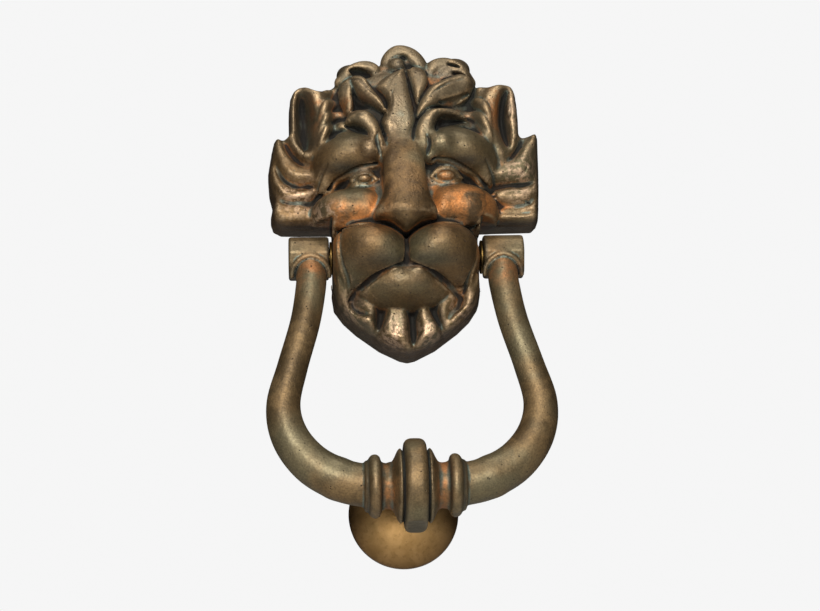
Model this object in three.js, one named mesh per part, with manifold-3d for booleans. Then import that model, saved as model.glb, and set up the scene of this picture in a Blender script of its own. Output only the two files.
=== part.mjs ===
// A lion-mask door knocker with a swinging bail and a separate striker button.
// Millimetres. +Z is up, -Y faces the caller, and the plane y = 0 is the outer face of the door.
// The origin is on the back of the mask, on the rib between its two fixing bosses.

import Module from "manifold-3d";
import * as THREE from "three";
import { mergeVertices } from "three/addons/utils/BufferGeometryUtils.js";

const wasm = await Module();
wasm.setup();

// ---------------------------------------------------------------- driving dimensions

const clearance = 0.3;
const overshoot = 1;

const doorThickness = 44;

// Mask casting
const panelDepth = 14;
const wall = 4;
const rimWidth = 4.5;
const jawHalfWidth = 28.4;
const ledgeZ = -13.6;
const chinBottom = -65.3;
const bossRadius = 7.5;
const bossDepth = 20;
const upperBossZ = 30;
const lowerBossZ = -42;
const ribWidth = 5;
const ribDepth = 15;
const maskReach = { across: 60, forward: 60, high: 70 };

// Bail pivot
const pivotY = -12;
const pivotZ = -26;
const pivotBossInner = 16;
const pivotScrew = {
  shank: 3,
  thread: 2.5,
  head: 5,
  headLength: 3.4,
  slotWidth: 1.2,
  slotDepth: 1.5,
  tipX: 19,
};
const pivotWasher = { outer: 6.5, thickness: 0.8 };

// Bail casting
const knuckleInner = jawHalfWidth + pivotWasher.thickness + 2 * clearance;
const knuckleOuter = 45.3;
const hammerAxis = new THREE.Vector2(-30.2, -118.9);
const armRootRadius = 6;
const armEndRadius = 7.9;

// Striker
const striker = { x: -3, z: -124.4, radius: 21, edge: 2.2, height: 12, socket: 8 };

// M6 fixings
const stud = { radius: 3, hole: 3 + clearance, depth: 13, past: 6 };
const washer = { outer: 9, thickness: 1.6 };
const springWasher = { outer: 5.9, thickness: 1.6, splitAngle: 0.2 };
const nut = { acrossFlats: 10, height: 5 };

// Facets round a bar, by its size
const facets = { bore: 16, thin: 20, thick: 24, striker: 30 };

// ---------------------------------------------------------------- materials

function metal(name, color, roughness) {
  return new THREE.MeshStandardMaterial({ name, color, roughness, metalness: 0.9 });
}

const agedBronze = metal("aged_bronze", 0x6b5034, 0.45);
const armBronze = metal("arm_bronze", 0x7d6340, 0.4);
const strikerBrass = metal("striker_brass", 0x8a6a3a, 0.4);
const fixingBrass = metal("fixing_brass", 0xb08d4a, 0.35);
const fixingSteel = metal("fixing_steel", 0x9a9c9e, 0.4);

// ---------------------------------------------------------------- solids

/** Turns a closed three.js geometry into a solid that can be joined and cut. */
function toSolid(geometry) {
  const bare = geometry.clone();
  bare.deleteAttribute("normal");
  bare.deleteAttribute("uv");
  const merged = mergeVertices(bare, 1e-4);
  const index = merged.index.array;
  const triangles = [];
  for (let i = 0; i < index.length; i += 3) {
    const [a, b, c] = [index[i], index[i + 1], index[i + 2]];
    if (a !== b && b !== c && c !== a) triangles.push(a, b, c);
  }
  return new wasm.Manifold(
    new wasm.Mesh({
      numProp: 3,
      vertProperties: new Float32Array(merged.attributes.position.array),
      triVerts: new Uint32Array(triangles),
    }),
  );
}

/** Makes the named mesh of one piece from its solid. */
function piece(name, solid, material) {
  const { vertProperties, triVerts } = solid.getMesh();
  const geometry = new THREE.BufferGeometry();
  geometry.setAttribute("position", new THREE.BufferAttribute(new Float32Array(vertProperties), 3));
  geometry.setIndex(new THREE.BufferAttribute(new Uint32Array(triVerts), 1));
  geometry.computeVertexNormals();
  const mesh = new THREE.Mesh(geometry, material);
  mesh.name = name;
  return mesh;
}

function join(solids) {
  return solids.reduce((whole, solid) => whole.add(solid));
}

/** A ball squashed to three radii. */
function ellipsoid([x, y, z, rx, ry, rz]) {
  const geometry = new THREE.SphereGeometry(1, 16, 10);
  geometry.scale(rx, ry, rz);
  geometry.translate(x, y, z);
  return toSolid(geometry);
}

/** A shape drawn in X and Z, made solid from the depth yBack out to yFront. */
function slab(shape, yBack, yFront, curveSegments = 12) {
  const geometry = new THREE.ExtrudeGeometry(shape, {
    depth: yBack - yFront,
    bevelEnabled: false,
    curveSegments,
  });
  geometry.rotateX(Math.PI / 2);
  geometry.translate(0, yBack, 0);
  return toSolid(geometry);
}

/** A block between two corners. Its ends in X can come in either order. */
function box(x0, x1, y0, y1, z0, z1) {
  const geometry = new THREE.BoxGeometry(Math.abs(x1 - x0), y1 - y0, z1 - z0);
  geometry.translate((x0 + x1) / 2, (y0 + y1) / 2, (z0 + z1) / 2);
  return toSolid(geometry);
}

/** A round bar along X. Its ends can come in either order. */
function barX(radius, x0, x1, y, z, sides = facets.thick) {
  const geometry = new THREE.CylinderGeometry(radius, radius, Math.abs(x1 - x0), sides);
  geometry.rotateZ(-Math.PI / 2);
  geometry.translate((x0 + x1) / 2, y, z);
  return toSolid(geometry);
}

/** A round bar along Y. */
function barY(radius, y0, y1, x, z, sides = facets.thick) {
  const geometry = new THREE.CylinderGeometry(radius, radius, y1 - y0, sides);
  geometry.translate(x, (y0 + y1) / 2, z);
  return toSolid(geometry);
}

/** A closed outline from its right-hand half, listed from the top down. */
function mirroredShape(half) {
  const right = half.map(([x, z]) => new THREE.Vector2(x, z));
  const left = half
    .filter(([x]) => x > 0)
    .map(([x, z]) => new THREE.Vector2(-x, z))
    .reverse();
  return new THREE.Shape([...right, ...left]);
}

/** Both copies of something that the object has on its left and on its right. */
function pair([x, y, z, rx, ry, rz]) {
  return [ellipsoid([x, y, z, rx, ry, rz]), ellipsoid([-x, y, z, rx, ry, rz])];
}

// ---------------------------------------------------------------- lion mask

/** Half of the mask's outline: curls, ear, mane panel, ledge above the knuckle, jaw and chin. */
const maskHalf = [
  [0, 60],
  [4.5, 57.5],
  [8.5, 51.5],
  [16.5, 54.5],
  [24.5, 48.5],
  [29.5, 41],
  [40, 42],
  [44, 41.2],
  [45.5, 33],
  [45, 22.8],
  [51.5, 23.8],
  [53, 10],
  [52, -12.9],
  [jawHalfWidth, ledgeZ],
  [jawHalfWidth, -36],
  [29, -38.5],
  [27.8, -44.5],
  [19.8, -54],
  [10.8, -61],
  [0, chinBottom],
];

/** Half of the opening in the mask's back. */
const hollowHalf = [
  [0, 46],
  [20, 43],
  [40.5 - rimWidth, 35],
  [45 - rimWidth, 18],
  [52.5 - rimWidth, 16],
  [52 - rimWidth, -8.5],
  [jawHalfWidth - rimWidth, -9.2],
  [jawHalfWidth - rimWidth, -42],
  [18, -49],
  [9.5, -56],
  [0, -59.5],
];

/** Raised forms on the middle of the face: centre x, y, z and the three radii. */
const middleForms = [
  [0, -2, 16, 35, 26, 33],
  [0, -18, -27, 26, 21, 15.5],
  [0, -27, 4, 8.5, 12, 20],
  [0, -37, -15, 9.5, 14, 12],
  [0, -15, -44, 20, 17, 10],
  [0, -15, 51, 6, 7, 8.5],
];

/** Raised forms that come in left and right pairs. */
const sideForms = [
  [20.5, -19, 9.5, 15, 12.5, 8],
  [22.5, -17, -8.5, 12.5, 13.5, 10],
  [11, -25, -29, 12, 18, 10.5],
  [17, -14, 48, 7.5, 8, 6.5],
  [11, -19, 34, 10, 9, 11],
  [38.5, -14, 33, 6.8, 11, 8.6],
  [45, -10, 6, 8, 6, 16],
];

/** The same forms, thinner by the wall, which make the deep part of the hollow. */
function hollowForms() {
  const shrunk = ([x, y, z, rx, ry, rz]) => [x, y, z, rx - wall, ry - wall, rz - wall];
  const [forehead, jaw, , , chin] = middleForms;
  return [forehead, jaw, chin].map((form) => ellipsoid(shrunk(form)));
}

/** The room that the mask takes, as far back as yBack. */
function maskRoom(yBack) {
  const { across, forward, high } = maskReach;
  return box(-across, across, -forward, yBack, -high, high);
}

function maskFront() {
  const forms = [...middleForms.map(ellipsoid), ...sideForms.flatMap(pair)];
  const face = join([slab(mirroredShape(maskHalf), 0, -panelDepth), ...forms]).intersect(maskRoom(0));
  return face.subtract(knuckleRoom(1)).subtract(knuckleRoom(-1));
}

/** The open space beside the jaw, under the ledge, where a knuckle turns. */
function knuckleRoom(side) {
  return box(jawHalfWidth * side, maskReach.across * side, -maskReach.forward, overshoot, -37, ledgeZ);
}

function maskHollow() {
  const deep = join(hollowForms()).intersect(maskRoom(overshoot));
  return slab(mirroredShape(hollowHalf), overshoot, wall - panelDepth).add(deep);
}

function fixingBoss(z) {
  return barY(bossRadius, -bossDepth, 0, 0, z);
}

function fixingBore(z) {
  return barY(stud.hole, -stud.depth, overshoot, 0, z, facets.bore);
}

function pivotBoss(side) {
  return barX(bossRadius, pivotBossInner * side, (jawHalfWidth - overshoot) * side, pivotY, pivotZ);
}

function pivotBore(side) {
  const [from, to] = [(pivotScrew.tipX - overshoot) * side, (jawHalfWidth + overshoot) * side];
  return barX(pivotScrew.thread + clearance, from, to, pivotY, pivotZ, facets.bore);
}

function lionMask() {
  const rib = box(-ribWidth / 2, ribWidth / 2, -ribDepth, 0, lowerBossZ, upperBossZ);
  const bosses = join([fixingBoss(upperBossZ), fixingBoss(lowerBossZ), rib, pivotBoss(1), pivotBoss(-1)]);
  const holes = join([fixingBore(upperBossZ), fixingBore(lowerBossZ), pivotBore(1), pivotBore(-1)]);
  return piece("lion_mask", maskFront().subtract(maskHollow()).add(bosses).subtract(holes), agedBronze);
}

// ---------------------------------------------------------------- bail

/** The right arm's centre line, from inside the knuckle down to the outer bead. */
const armPoints = [
  [36.6, -17.2, -28.5],
  [36.6, -19.2, -38],
  [39.3, -22.4, -54],
  [44.6, -25, -72],
  [48.2, -26.6, -87],
  [45.8, -28, -99.5],
  [38, -29.2, -110],
  [27, -30, -116.4],
  [16.5, hammerAxis.x, hammerAxis.y],
];

/** The turned part's section: distance from the hammer's centre, and radius. */
const hammerProfile = [
  [0, 17.9],
  [3.2, 17.8],
  [4.2, 16],
  [4.3, 14.2],
  [5.3, 13.5],
  [6.4, 12.2],
  [7.6, 10.2],
  [8.8, 8.9],
  [11.8, 8.7],
  [13.5, 10.6],
  [14.6, 11.85],
  [16, 11.75],
  [17, 10.6],
  [18, 10.2],
  [19, 8.4],
];

/** A tube whose radius grows from the start of its path to the end. */
function arm(side) {
  const points = armPoints.map(([x, y, z]) => new THREE.Vector3(x * side, y, z));
  const path = new THREE.CatmullRomCurve3(points);
  const section = new THREE.Shape().absarc(0, 0, armRootRadius, 0, 2 * Math.PI);
  const steps = 24;
  const tube = new THREE.ExtrudeGeometry(section, { steps, extrudePath: path, curveSegments: 6 });
  const stations = path.getSpacedPoints(steps);
  const position = tube.attributes.position;
  const point = new THREE.Vector3();
  for (let i = 0; i < position.count; i += 1) {
    point.fromBufferAttribute(position, i);
    const distances = stations.map((station) => station.distanceTo(point));
    const nearest = distances.indexOf(Math.min(...distances));
    const swell = THREE.MathUtils.smoothstep(nearest / steps, 0.5, 1);
    const radius = THREE.MathUtils.lerp(armRootRadius, armEndRadius, swell);
    point.sub(stations[nearest]).multiplyScalar(radius / armRootRadius).add(stations[nearest]);
    position.setXYZ(i, point.x, point.y, point.z);
  }
  return toSolid(tube);
}

/** Hammer disc, its flanks, and both beads, turned about one axis. */
function turnedHammer() {
  const right = hammerProfile.map(([x, r]) => new THREE.Vector2(r, x));
  const left = hammerProfile
    .slice(1)
    .map(([x, r]) => new THREE.Vector2(r, -x))
    .reverse();
  const end = hammerProfile.at(-1)[0];
  const profile = [new THREE.Vector2(0, -end), ...left, ...right, new THREE.Vector2(0, end)];
  const geometry = new THREE.LatheGeometry(profile, facets.thick);
  geometry.rotateZ(-Math.PI / 2);
  geometry.translate(0, hammerAxis.x, hammerAxis.y);
  return toSolid(geometry);
}

/** A knuckle's side view: round behind and on top, with a crease in front and a flat below it. */
function knuckleShape() {
  const shape = new THREE.Shape();
  shape.moveTo(-2.5, 8.1);
  shape.quadraticCurveTo(-7.4, 6.4, -8.8, 0.2);
  shape.lineTo(-5.5, -7.4);
  shape.quadraticCurveTo(-4, -8.4, 0, -8.4);
  shape.absarc(0, 0, 8.4, -Math.PI / 2, Math.PI / 2, false);
  return shape;
}

function knuckle(side) {
  const width = knuckleOuter - knuckleInner;
  const options = { depth: width, bevelEnabled: false, curveSegments: 8 };
  const geometry = new THREE.ExtrudeGeometry(knuckleShape(), options);
  const axes = [new THREE.Vector3(0, 1, 0), new THREE.Vector3(0, 0, 1), new THREE.Vector3(1, 0, 0)];
  geometry.applyMatrix4(new THREE.Matrix4().makeBasis(...axes));
  geometry.translate(side > 0 ? knuckleInner : -knuckleOuter, pivotY, pivotZ);
  return toSolid(geometry);
}

/** The knuckle's through hole for the screw's shank, and the recess for its head. */
function knuckleBore(side) {
  const headSeat = knuckleOuter - pivotScrew.headLength - 2 * clearance;
  const spans = [
    [pivotScrew.shank + clearance, knuckleInner - overshoot, knuckleOuter],
    [pivotScrew.head + clearance, headSeat, knuckleOuter + overshoot],
  ];
  return join(spans.map((span) => pivotBar(span, side)));
}

/** A bar on the pivot's axis, from its radius and its two distances from the middle. */
function pivotBar([radius, from, to], side) {
  return barX(radius, from * side, to * side, pivotY, pivotZ, facets.bore);
}

function knockerBail() {
  const casting = join([turnedHammer(), arm(1), arm(-1), knuckle(1), knuckle(-1)]);
  const bores = knuckleBore(1).add(knuckleBore(-1));
  return piece("knocker_bail", casting.subtract(bores), armBronze);
}

// ---------------------------------------------------------------- pivot hardware

function pivotScrewPiece(name, side) {
  const headOuter = knuckleOuter - clearance;
  const headInner = headOuter - pivotScrew.headLength;
  const shoulder = jawHalfWidth + clearance;
  const spans = [
    [pivotScrew.head, headInner, headOuter],
    [pivotScrew.shank, shoulder, headInner + overshoot / 2],
    [pivotScrew.thread, pivotScrew.tipX, shoulder + overshoot / 2],
  ];
  const bars = spans.map((span) => pivotBar(span, side));
  const [from, to] = [(headOuter - pivotScrew.slotDepth) * side, (headOuter + overshoot) * side];
  const reach = pivotScrew.head + overshoot;
  const half = pivotScrew.slotWidth / 2;
  const slot = box(from, to, pivotY - reach, pivotY + reach, pivotZ - half, pivotZ + half);
  return piece(name, join(bars).subtract(slot), fixingBrass);
}

function pivotWasherPiece(name, side) {
  const from = jawHalfWidth + clearance;
  const to = from + pivotWasher.thickness;
  const disc = pivotBar([pivotWasher.outer, from, to], side);
  const hole = pivotBar([pivotScrew.shank + clearance, from - overshoot, to + overshoot], side);
  return piece(name, disc.subtract(hole), fixingBrass);
}

// ---------------------------------------------------------------- striker

function strikerButton() {
  const rise = striker.height - striker.edge;
  const domeRadius = (striker.radius ** 2 + rise ** 2) / (2 * rise);
  const span = Math.asin(striker.radius / domeRadius);
  const rings = 6;
  const profile = [new THREE.Vector2(0, 0), new THREE.Vector2(striker.radius, 0)];
  for (let i = 0; i <= rings; i += 1) {
    const angle = span * (1 - i / rings);
    const height = striker.height - domeRadius * (1 - Math.cos(angle));
    profile.push(new THREE.Vector2(domeRadius * Math.sin(angle), height));
  }
  const geometry = new THREE.LatheGeometry(profile, facets.striker);
  geometry.rotateX(Math.PI);
  geometry.translate(striker.x, 0, striker.z);
  const socket = barY(stud.hole, -striker.socket, overshoot, striker.x, striker.z, facets.bore);
  return piece("striker_button", toSolid(geometry).subtract(socket), strikerBrass);
}

// ---------------------------------------------------------------- door fixings

/** A stack of stud, washer, spring washer and nut at one point of the door. */
function fixing(x, z, startY, names) {
  const washerFace = doorThickness;
  const springFace = washerFace + washer.thickness + clearance;
  const nutFace = springFace + springWasher.thickness + clearance;
  const studEnd = nutFace + nut.height + stud.past;

  const { outer, thickness, splitAngle } = springWasher;
  const plain = ring(washer.outer, stud.hole, washerFace, washer.thickness, 0);
  const spring = ring(outer, stud.hole, springFace, thickness, splitAngle);
  const rod = barY(stud.radius, startY, studEnd, 0, 0, facets.thin);
  const meshes = [
    piece(names.stud, rod, fixingSteel),
    piece(names.washer, plain, fixingSteel),
    piece(names.spring, spring, fixingSteel),
    piece(names.nut, hexNut(nutFace), fixingSteel),
  ];
  const group = new THREE.Group();
  group.position.set(x, 0, z);
  group.add(...meshes);
  return group;
}

/** A flat ring about Y, cut through on one side when split is more than 0. */
function ring(outer, inner, y, thickness, split) {
  const [back, front] = [y + thickness + overshoot, y - overshoot];
  const hole = barY(inner, front, back, 0, 0, facets.bore);
  const disc = barY(outer, y, y + thickness, 0, 0, facets.thin).subtract(hole);
  if (split === 0) return disc;
  const halfGap = outer * split * 0.5;
  return disc.subtract(box(0, outer + overshoot, front, back, -halfGap, halfGap));
}

function hexNut(y) {
  const cornerRadius = nut.acrossFlats / Math.sqrt(3);
  const sides = 6;
  const blank = barY(cornerRadius, y, y + nut.height, 0, 0, sides);
  return blank.subtract(barY(stud.hole, y - overshoot, y + nut.height + overshoot, 0, 0, facets.bore));
}

// ---------------------------------------------------------------- assembly

const knocker = new THREE.Group();
knocker.add(
  lionMask(),
  knockerBail(),
  pivotScrewPiece("pivot_screw_right", 1),
  pivotScrewPiece("pivot_screw_left", -1),
  pivotWasherPiece("pivot_washer_right", 1),
  pivotWasherPiece("pivot_washer_left", -1),
  strikerButton(),
  fixing(0, upperBossZ, clearance - stud.depth, {
    stud: "mask_stud_upper",
    washer: "mask_washer_upper",
    spring: "spring_washer_upper",
    nut: "mask_nut_upper",
  }),
  fixing(0, lowerBossZ, clearance - stud.depth, {
    stud: "mask_stud_lower",
    washer: "mask_washer_lower",
    spring: "spring_washer_lower",
    nut: "mask_nut_lower",
  }),
  fixing(striker.x, striker.z, clearance - striker.socket, {
    stud: "striker_stud",
    washer: "striker_washer",
    spring: "spring_washer_striker",
    nut: "striker_nut",
  }),
);

export default knocker;
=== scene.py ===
"""A lion-mask door knocker in aged bronze, modelled round its CAD frame.

The two castings are sculpted as clay on a grid of distances and turned into meshes; the pivot
screws and the fixings behind the door are turned, threaded or cut. Sculpting is in millimetres,
with the mask's back on the plane y = 0 and -Y in front; every Blender object is in metres.
"""

import math
from collections import namedtuple
from itertools import product

import bmesh
import bpy
import numpy as np
from mathutils import Matrix, Vector


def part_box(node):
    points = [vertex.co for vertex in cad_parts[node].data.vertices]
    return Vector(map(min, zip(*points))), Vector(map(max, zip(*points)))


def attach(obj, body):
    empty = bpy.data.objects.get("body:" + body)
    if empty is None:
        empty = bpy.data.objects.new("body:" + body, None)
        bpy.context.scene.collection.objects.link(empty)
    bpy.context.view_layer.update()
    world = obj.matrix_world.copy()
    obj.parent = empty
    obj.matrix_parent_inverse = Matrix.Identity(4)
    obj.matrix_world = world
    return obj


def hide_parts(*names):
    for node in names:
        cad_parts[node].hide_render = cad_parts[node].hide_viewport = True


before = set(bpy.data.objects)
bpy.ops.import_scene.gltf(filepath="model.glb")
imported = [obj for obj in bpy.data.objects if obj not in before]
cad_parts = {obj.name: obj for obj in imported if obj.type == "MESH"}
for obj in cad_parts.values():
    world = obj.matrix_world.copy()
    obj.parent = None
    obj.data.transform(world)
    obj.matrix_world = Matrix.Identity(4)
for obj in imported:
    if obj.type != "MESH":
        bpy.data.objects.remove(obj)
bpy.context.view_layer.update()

MM = 0.001


def node_box(name):
    """Lowest and highest corners of a CAD node, in mm."""
    low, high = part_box(name)
    return np.array(low) / MM, np.array(high) / MM


# ------------------------------------------------------------------ sizes, in mm

STEP = 0.5
EMPTY = 6.0
FAR_FRONT = -60.0

# Mask casting
PANEL_DEPTH = 15.0
WALL = 4.0
BOSS_RADIUS = 7.5
BOSS_DEPTH = 20.0
PIVOT_BOSS_INNER = 16.0
RIB_WIDTH = 5.0
RIB_DEPTH = 15.0
JAW_HALF_WIDTH = 28.4
LEDGE_Z = -13.8
KNUCKLE_ROOM_FLOOR = -37.0

# Bail pivot, from the washers beside the jaw
washer_low, washer_high = node_box("pivot_washer_right")
PIVOT_Y = (washer_low[1] + washer_high[1]) / 2
PIVOT_Z = (washer_low[2] + washer_high[2]) / 2
PIVOT_SHANK = 3.0
PIVOT_THREAD = 2.5
PIVOT_PITCH = 0.8
PIVOT_HEAD = 5.0
PIVOT_HEAD_LENGTH = 3.4
PIVOT_TIP_X = 19.0
SLOT_HALF_WIDTH = 0.6
CLEARANCE = 0.3

# Bail casting
KNUCKLE_INNER = washer_high[0] + CLEARANCE
KNUCKLE_OUTER = 45.3
HAMMER_Y = -30.2
HAMMER_Z = -118.9
HAMMER_RADIUS = 17.9
HAMMER_REACH = 19.0
HAMMER_FLAT = 2.0
HAMMER_FLAT_ANGLE = -82.5

# Fixings
STUD_RADIUS = 3.0
STUD_PITCH = 1.0
STUD_DEPTH = 13.0
STUD_HEIGHTS = (30.0, -42.0)
NUT_ACROSS_FLATS = 10.0

# ------------------------------------------------------------------ clay

Form = namedtuple("Form", "low high distance")


def soft_min(a, b, blend):
    """The smaller of two distances, with the crease between them filled over blend mm."""
    if blend <= 0:
        return np.minimum(a, b)
    share = np.clip(0.5 + 0.5 * (b - a) / blend, 0, 1)
    return b + (a - b) * share - blend * share * (1 - share)


def cells_between(axis, low, high):
    """The slice of a grid's axis that holds low to high."""
    first = int(np.clip(np.searchsorted(axis, low) - 1, 0, len(axis) - 1))
    last = int(np.clip(np.searchsorted(axis, high) + 1, first + 1, len(axis)))
    return slice(first, last)


class Clay:
    """Clay on a regular grid: field is the distance in mm to its surface, negative inside."""

    def __init__(self, low, high, step=STEP):
        self.step = step
        self.low = np.array(low, np.float32)
        counts = np.ceil((np.array(high) - self.low) / step).astype(int) + 1
        self.axes = [self.low[i] + step * np.arange(counts[i], dtype=np.float32) for i in range(3)]
        self.field = np.full(counts, EMPTY, np.float32)

    def window(self, form, margin):
        """The slices of the grid that hold a form, and its coordinates as open arrays."""
        ends = zip(self.axes, form.low - margin, form.high + margin)
        spans = tuple(cells_between(*end) for end in ends)
        x, y, z = (axis[span] for axis, span in zip(self.axes, spans))
        return spans, (x[:, None, None], y[None, :, None], z[None, None, :])

    def join(self, form, blend=0.0):
        spans, grid = self.window(form, blend + 1)
        self.field[spans] = soft_min(self.field[spans], form.distance(*grid), blend)

    def carve(self, form, blend=0.0):
        spans, grid = self.window(form, blend + 1)
        self.field[spans] = -soft_min(-self.field[spans], form.distance(*grid), blend)

    def front(self):
        """Depth of the first clay met from in front at each x and z, and where there is any."""
        inside = self.field < 0
        hit = inside.argmax(axis=1)
        i, k = np.meshgrid(np.arange(hit.shape[0]), np.arange(hit.shape[1]), indexing="ij")
        before = np.clip(hit - 1, 0, None)
        a, b = self.field[i, before, k], self.field[i, hit, k]
        share = np.where(hit > 0, a / np.maximum(a - b, 1e-6), 0)
        solid = inside.any(axis=1)
        return np.where(solid, self.axes[1][before] + share * self.step * (hit > 0), 0), solid

    def front_at(self, x, z):
        """Depth of the front surface at single points."""
        depth, _ = self.front()
        i = np.clip(np.round((x - self.low[0]) / self.step).astype(int), 0, depth.shape[0] - 1)
        k = np.clip(np.round((z - self.low[2]) / self.step).astype(int), 0, depth.shape[1] - 1)
        return depth[i, k]


def spline(points, count):
    """Catmull-Rom through the points, sampled evenly along them."""
    p = np.asarray(points, float)
    q = np.vstack([2 * p[0] - p[1], p, 2 * p[-1] - p[-2]])
    u = np.linspace(0, len(p) - 1, count)
    i = np.minimum(u.astype(int), len(p) - 2)
    return catmull(q[i], q[i + 1], q[i + 2], q[i + 3], (u - i)[:, None])


def catmull(a, b, c, d, t):
    return 0.5 * (
        2 * b + (c - a) * t + (2 * a - 5 * b + 4 * c - d) * t**2 + (3 * b - a - 3 * c + d) * t**3
    )


def loop(points, per=5):
    """A smooth closed curve through the points."""
    p = np.asarray(points, float)
    t = np.arange(per)[:, None] / per
    corners = zip(np.roll(p, 1, axis=0), p, np.roll(p, -1, axis=0), np.roll(p, -2, axis=0))
    return np.vstack([catmull(*four, t) for four in corners])


def outline_distance(outline, u, v):
    """Distance in a plane to a closed outline, negative inside it."""
    p = np.asarray(outline, np.float32)
    nearest, inside = None, None
    for (au, av), (bu, bv) in zip(p, np.roll(p, -1, axis=0)):
        du, dv = bu - au, bv - av
        t = np.clip(((u - au) * du + (v - av) * dv) / (du * du + dv * dv + 1e-9), 0, 1)
        gap = (u - au - t * du) ** 2 + (v - av - t * dv) ** 2
        crosses = ((av > v) != (bv > v)) & (u < (bu - au) * (v - av) / (bv - av + 1e-12) + au)
        nearest = gap if nearest is None else np.minimum(nearest, gap)
        inside = crosses if inside is None else inside ^ crosses
    return np.where(inside, -1, 1) * np.sqrt(nearest)


def turned(u, v, angle):
    c, s = math.cos(math.radians(angle)), math.sin(math.radians(angle))
    return c * u + s * v, c * v - s * u


def ball(centre, radii, tilt=0, lean=0):
    """An ellipsoid. Tilt turns it in the face's plane and lean tips it forward, in degrees."""
    c, r = np.array(centre, float), np.array(radii, float)
    reach = np.full(3, r.max()) if tilt or lean else r

    def distance(x, y, z):
        x, y, z = x - c[0], y - c[1], z - c[2]
        x, z = turned(x, z, tilt)
        y, z = turned(y, z, lean)
        k0 = np.sqrt((x / r[0]) ** 2 + (y / r[1]) ** 2 + (z / r[2]) ** 2) + 1e-6
        k1 = np.sqrt((x / r[0] ** 2) ** 2 + (y / r[1] ** 2) ** 2 + (z / r[2] ** 2) ** 2) + 1e-6
        return (k0 * (k0 - 1) / k1).astype(np.float32)

    return Form(c - reach, c + reach, distance)


def strand(path, flat=1.0):
    """A round bar along a path of (x, y, z, radius); flat squashes it in depth."""
    p = np.asarray(path, np.float32)
    reach = p[:, 3].max()

    def distance(x, y, z):
        nearest = None
        for (ax, ay, az, ar), (bx, by, bz, br) in zip(p[:-1], p[1:]):
            dx, dy, dz = bx - ax, (by - ay) * flat, bz - az
            length = dx * dx + dy * dy + dz * dz + 1e-9
            ux, uy, uz = x - ax, (y - ay) * flat, z - az
            t = np.clip((ux * dx + uy * dy + uz * dz) / length, 0, 1)
            gap = np.sqrt((ux - t * dx) ** 2 + (uy - t * dy) ** 2 + (uz - t * dz) ** 2)
            gap -= ar + t * (br - ar)
            nearest = gap if nearest is None else np.minimum(nearest, gap)
        return (nearest / max(1.0, flat)).astype(np.float32)

    return Form(p[:, :3].min(0) - reach, p[:, :3].max(0) + reach, distance)


def extrusion(side, low, high, start, end, axis, edge, front=None):
    """A solid from start to end along one axis, with its edges rounded.

    Side gives the distance to its outline on the other two axes, where it lies between low and
    high. Front, a function of x and z, takes the place of start.
    """

    def distance(x, y, z):
        grid = [x, y, z]
        along = grid.pop(axis)
        across = side(*grid) + edge
        near = front(x, z) if front else start
        depth = np.maximum(near - along, along - end) + edge
        corner = np.sqrt(np.maximum(across, 0) ** 2 + np.maximum(depth, 0) ** 2)
        return (np.minimum(np.maximum(across, depth), 0) + corner - edge).astype(np.float32)

    nearest = FAR_FRONT if front else start
    return Form(np.insert(low, axis, nearest), np.insert(high, axis, end), distance)


def slab(outline, start, end, axis=1, edge=0.8, front=None):
    """A closed outline made solid along one axis; its points are on the other two, in order."""
    p = np.asarray(outline, float)

    def side(u, v):
        return outline_distance(p, u, v)

    return extrusion(side, p.min(0), p.max(0), start, end, axis, edge, front)


def bar(axis, radius, start, end, u, v, edge=0.2):
    """A round bar along one axis; u and v place it on the other two."""

    def side(across, up):
        return np.sqrt((across - u) ** 2 + (up - v) ** 2) - radius

    low, high = np.array([u - radius, v - radius]), np.array([u + radius, v + radius])
    return extrusion(side, low, high, start, end, axis, edge)


def on_side(side, near, far):
    """The stretch from near to far on the right, or its mirror on the left, lowest end first."""
    return sorted((near * side, far * side))


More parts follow.
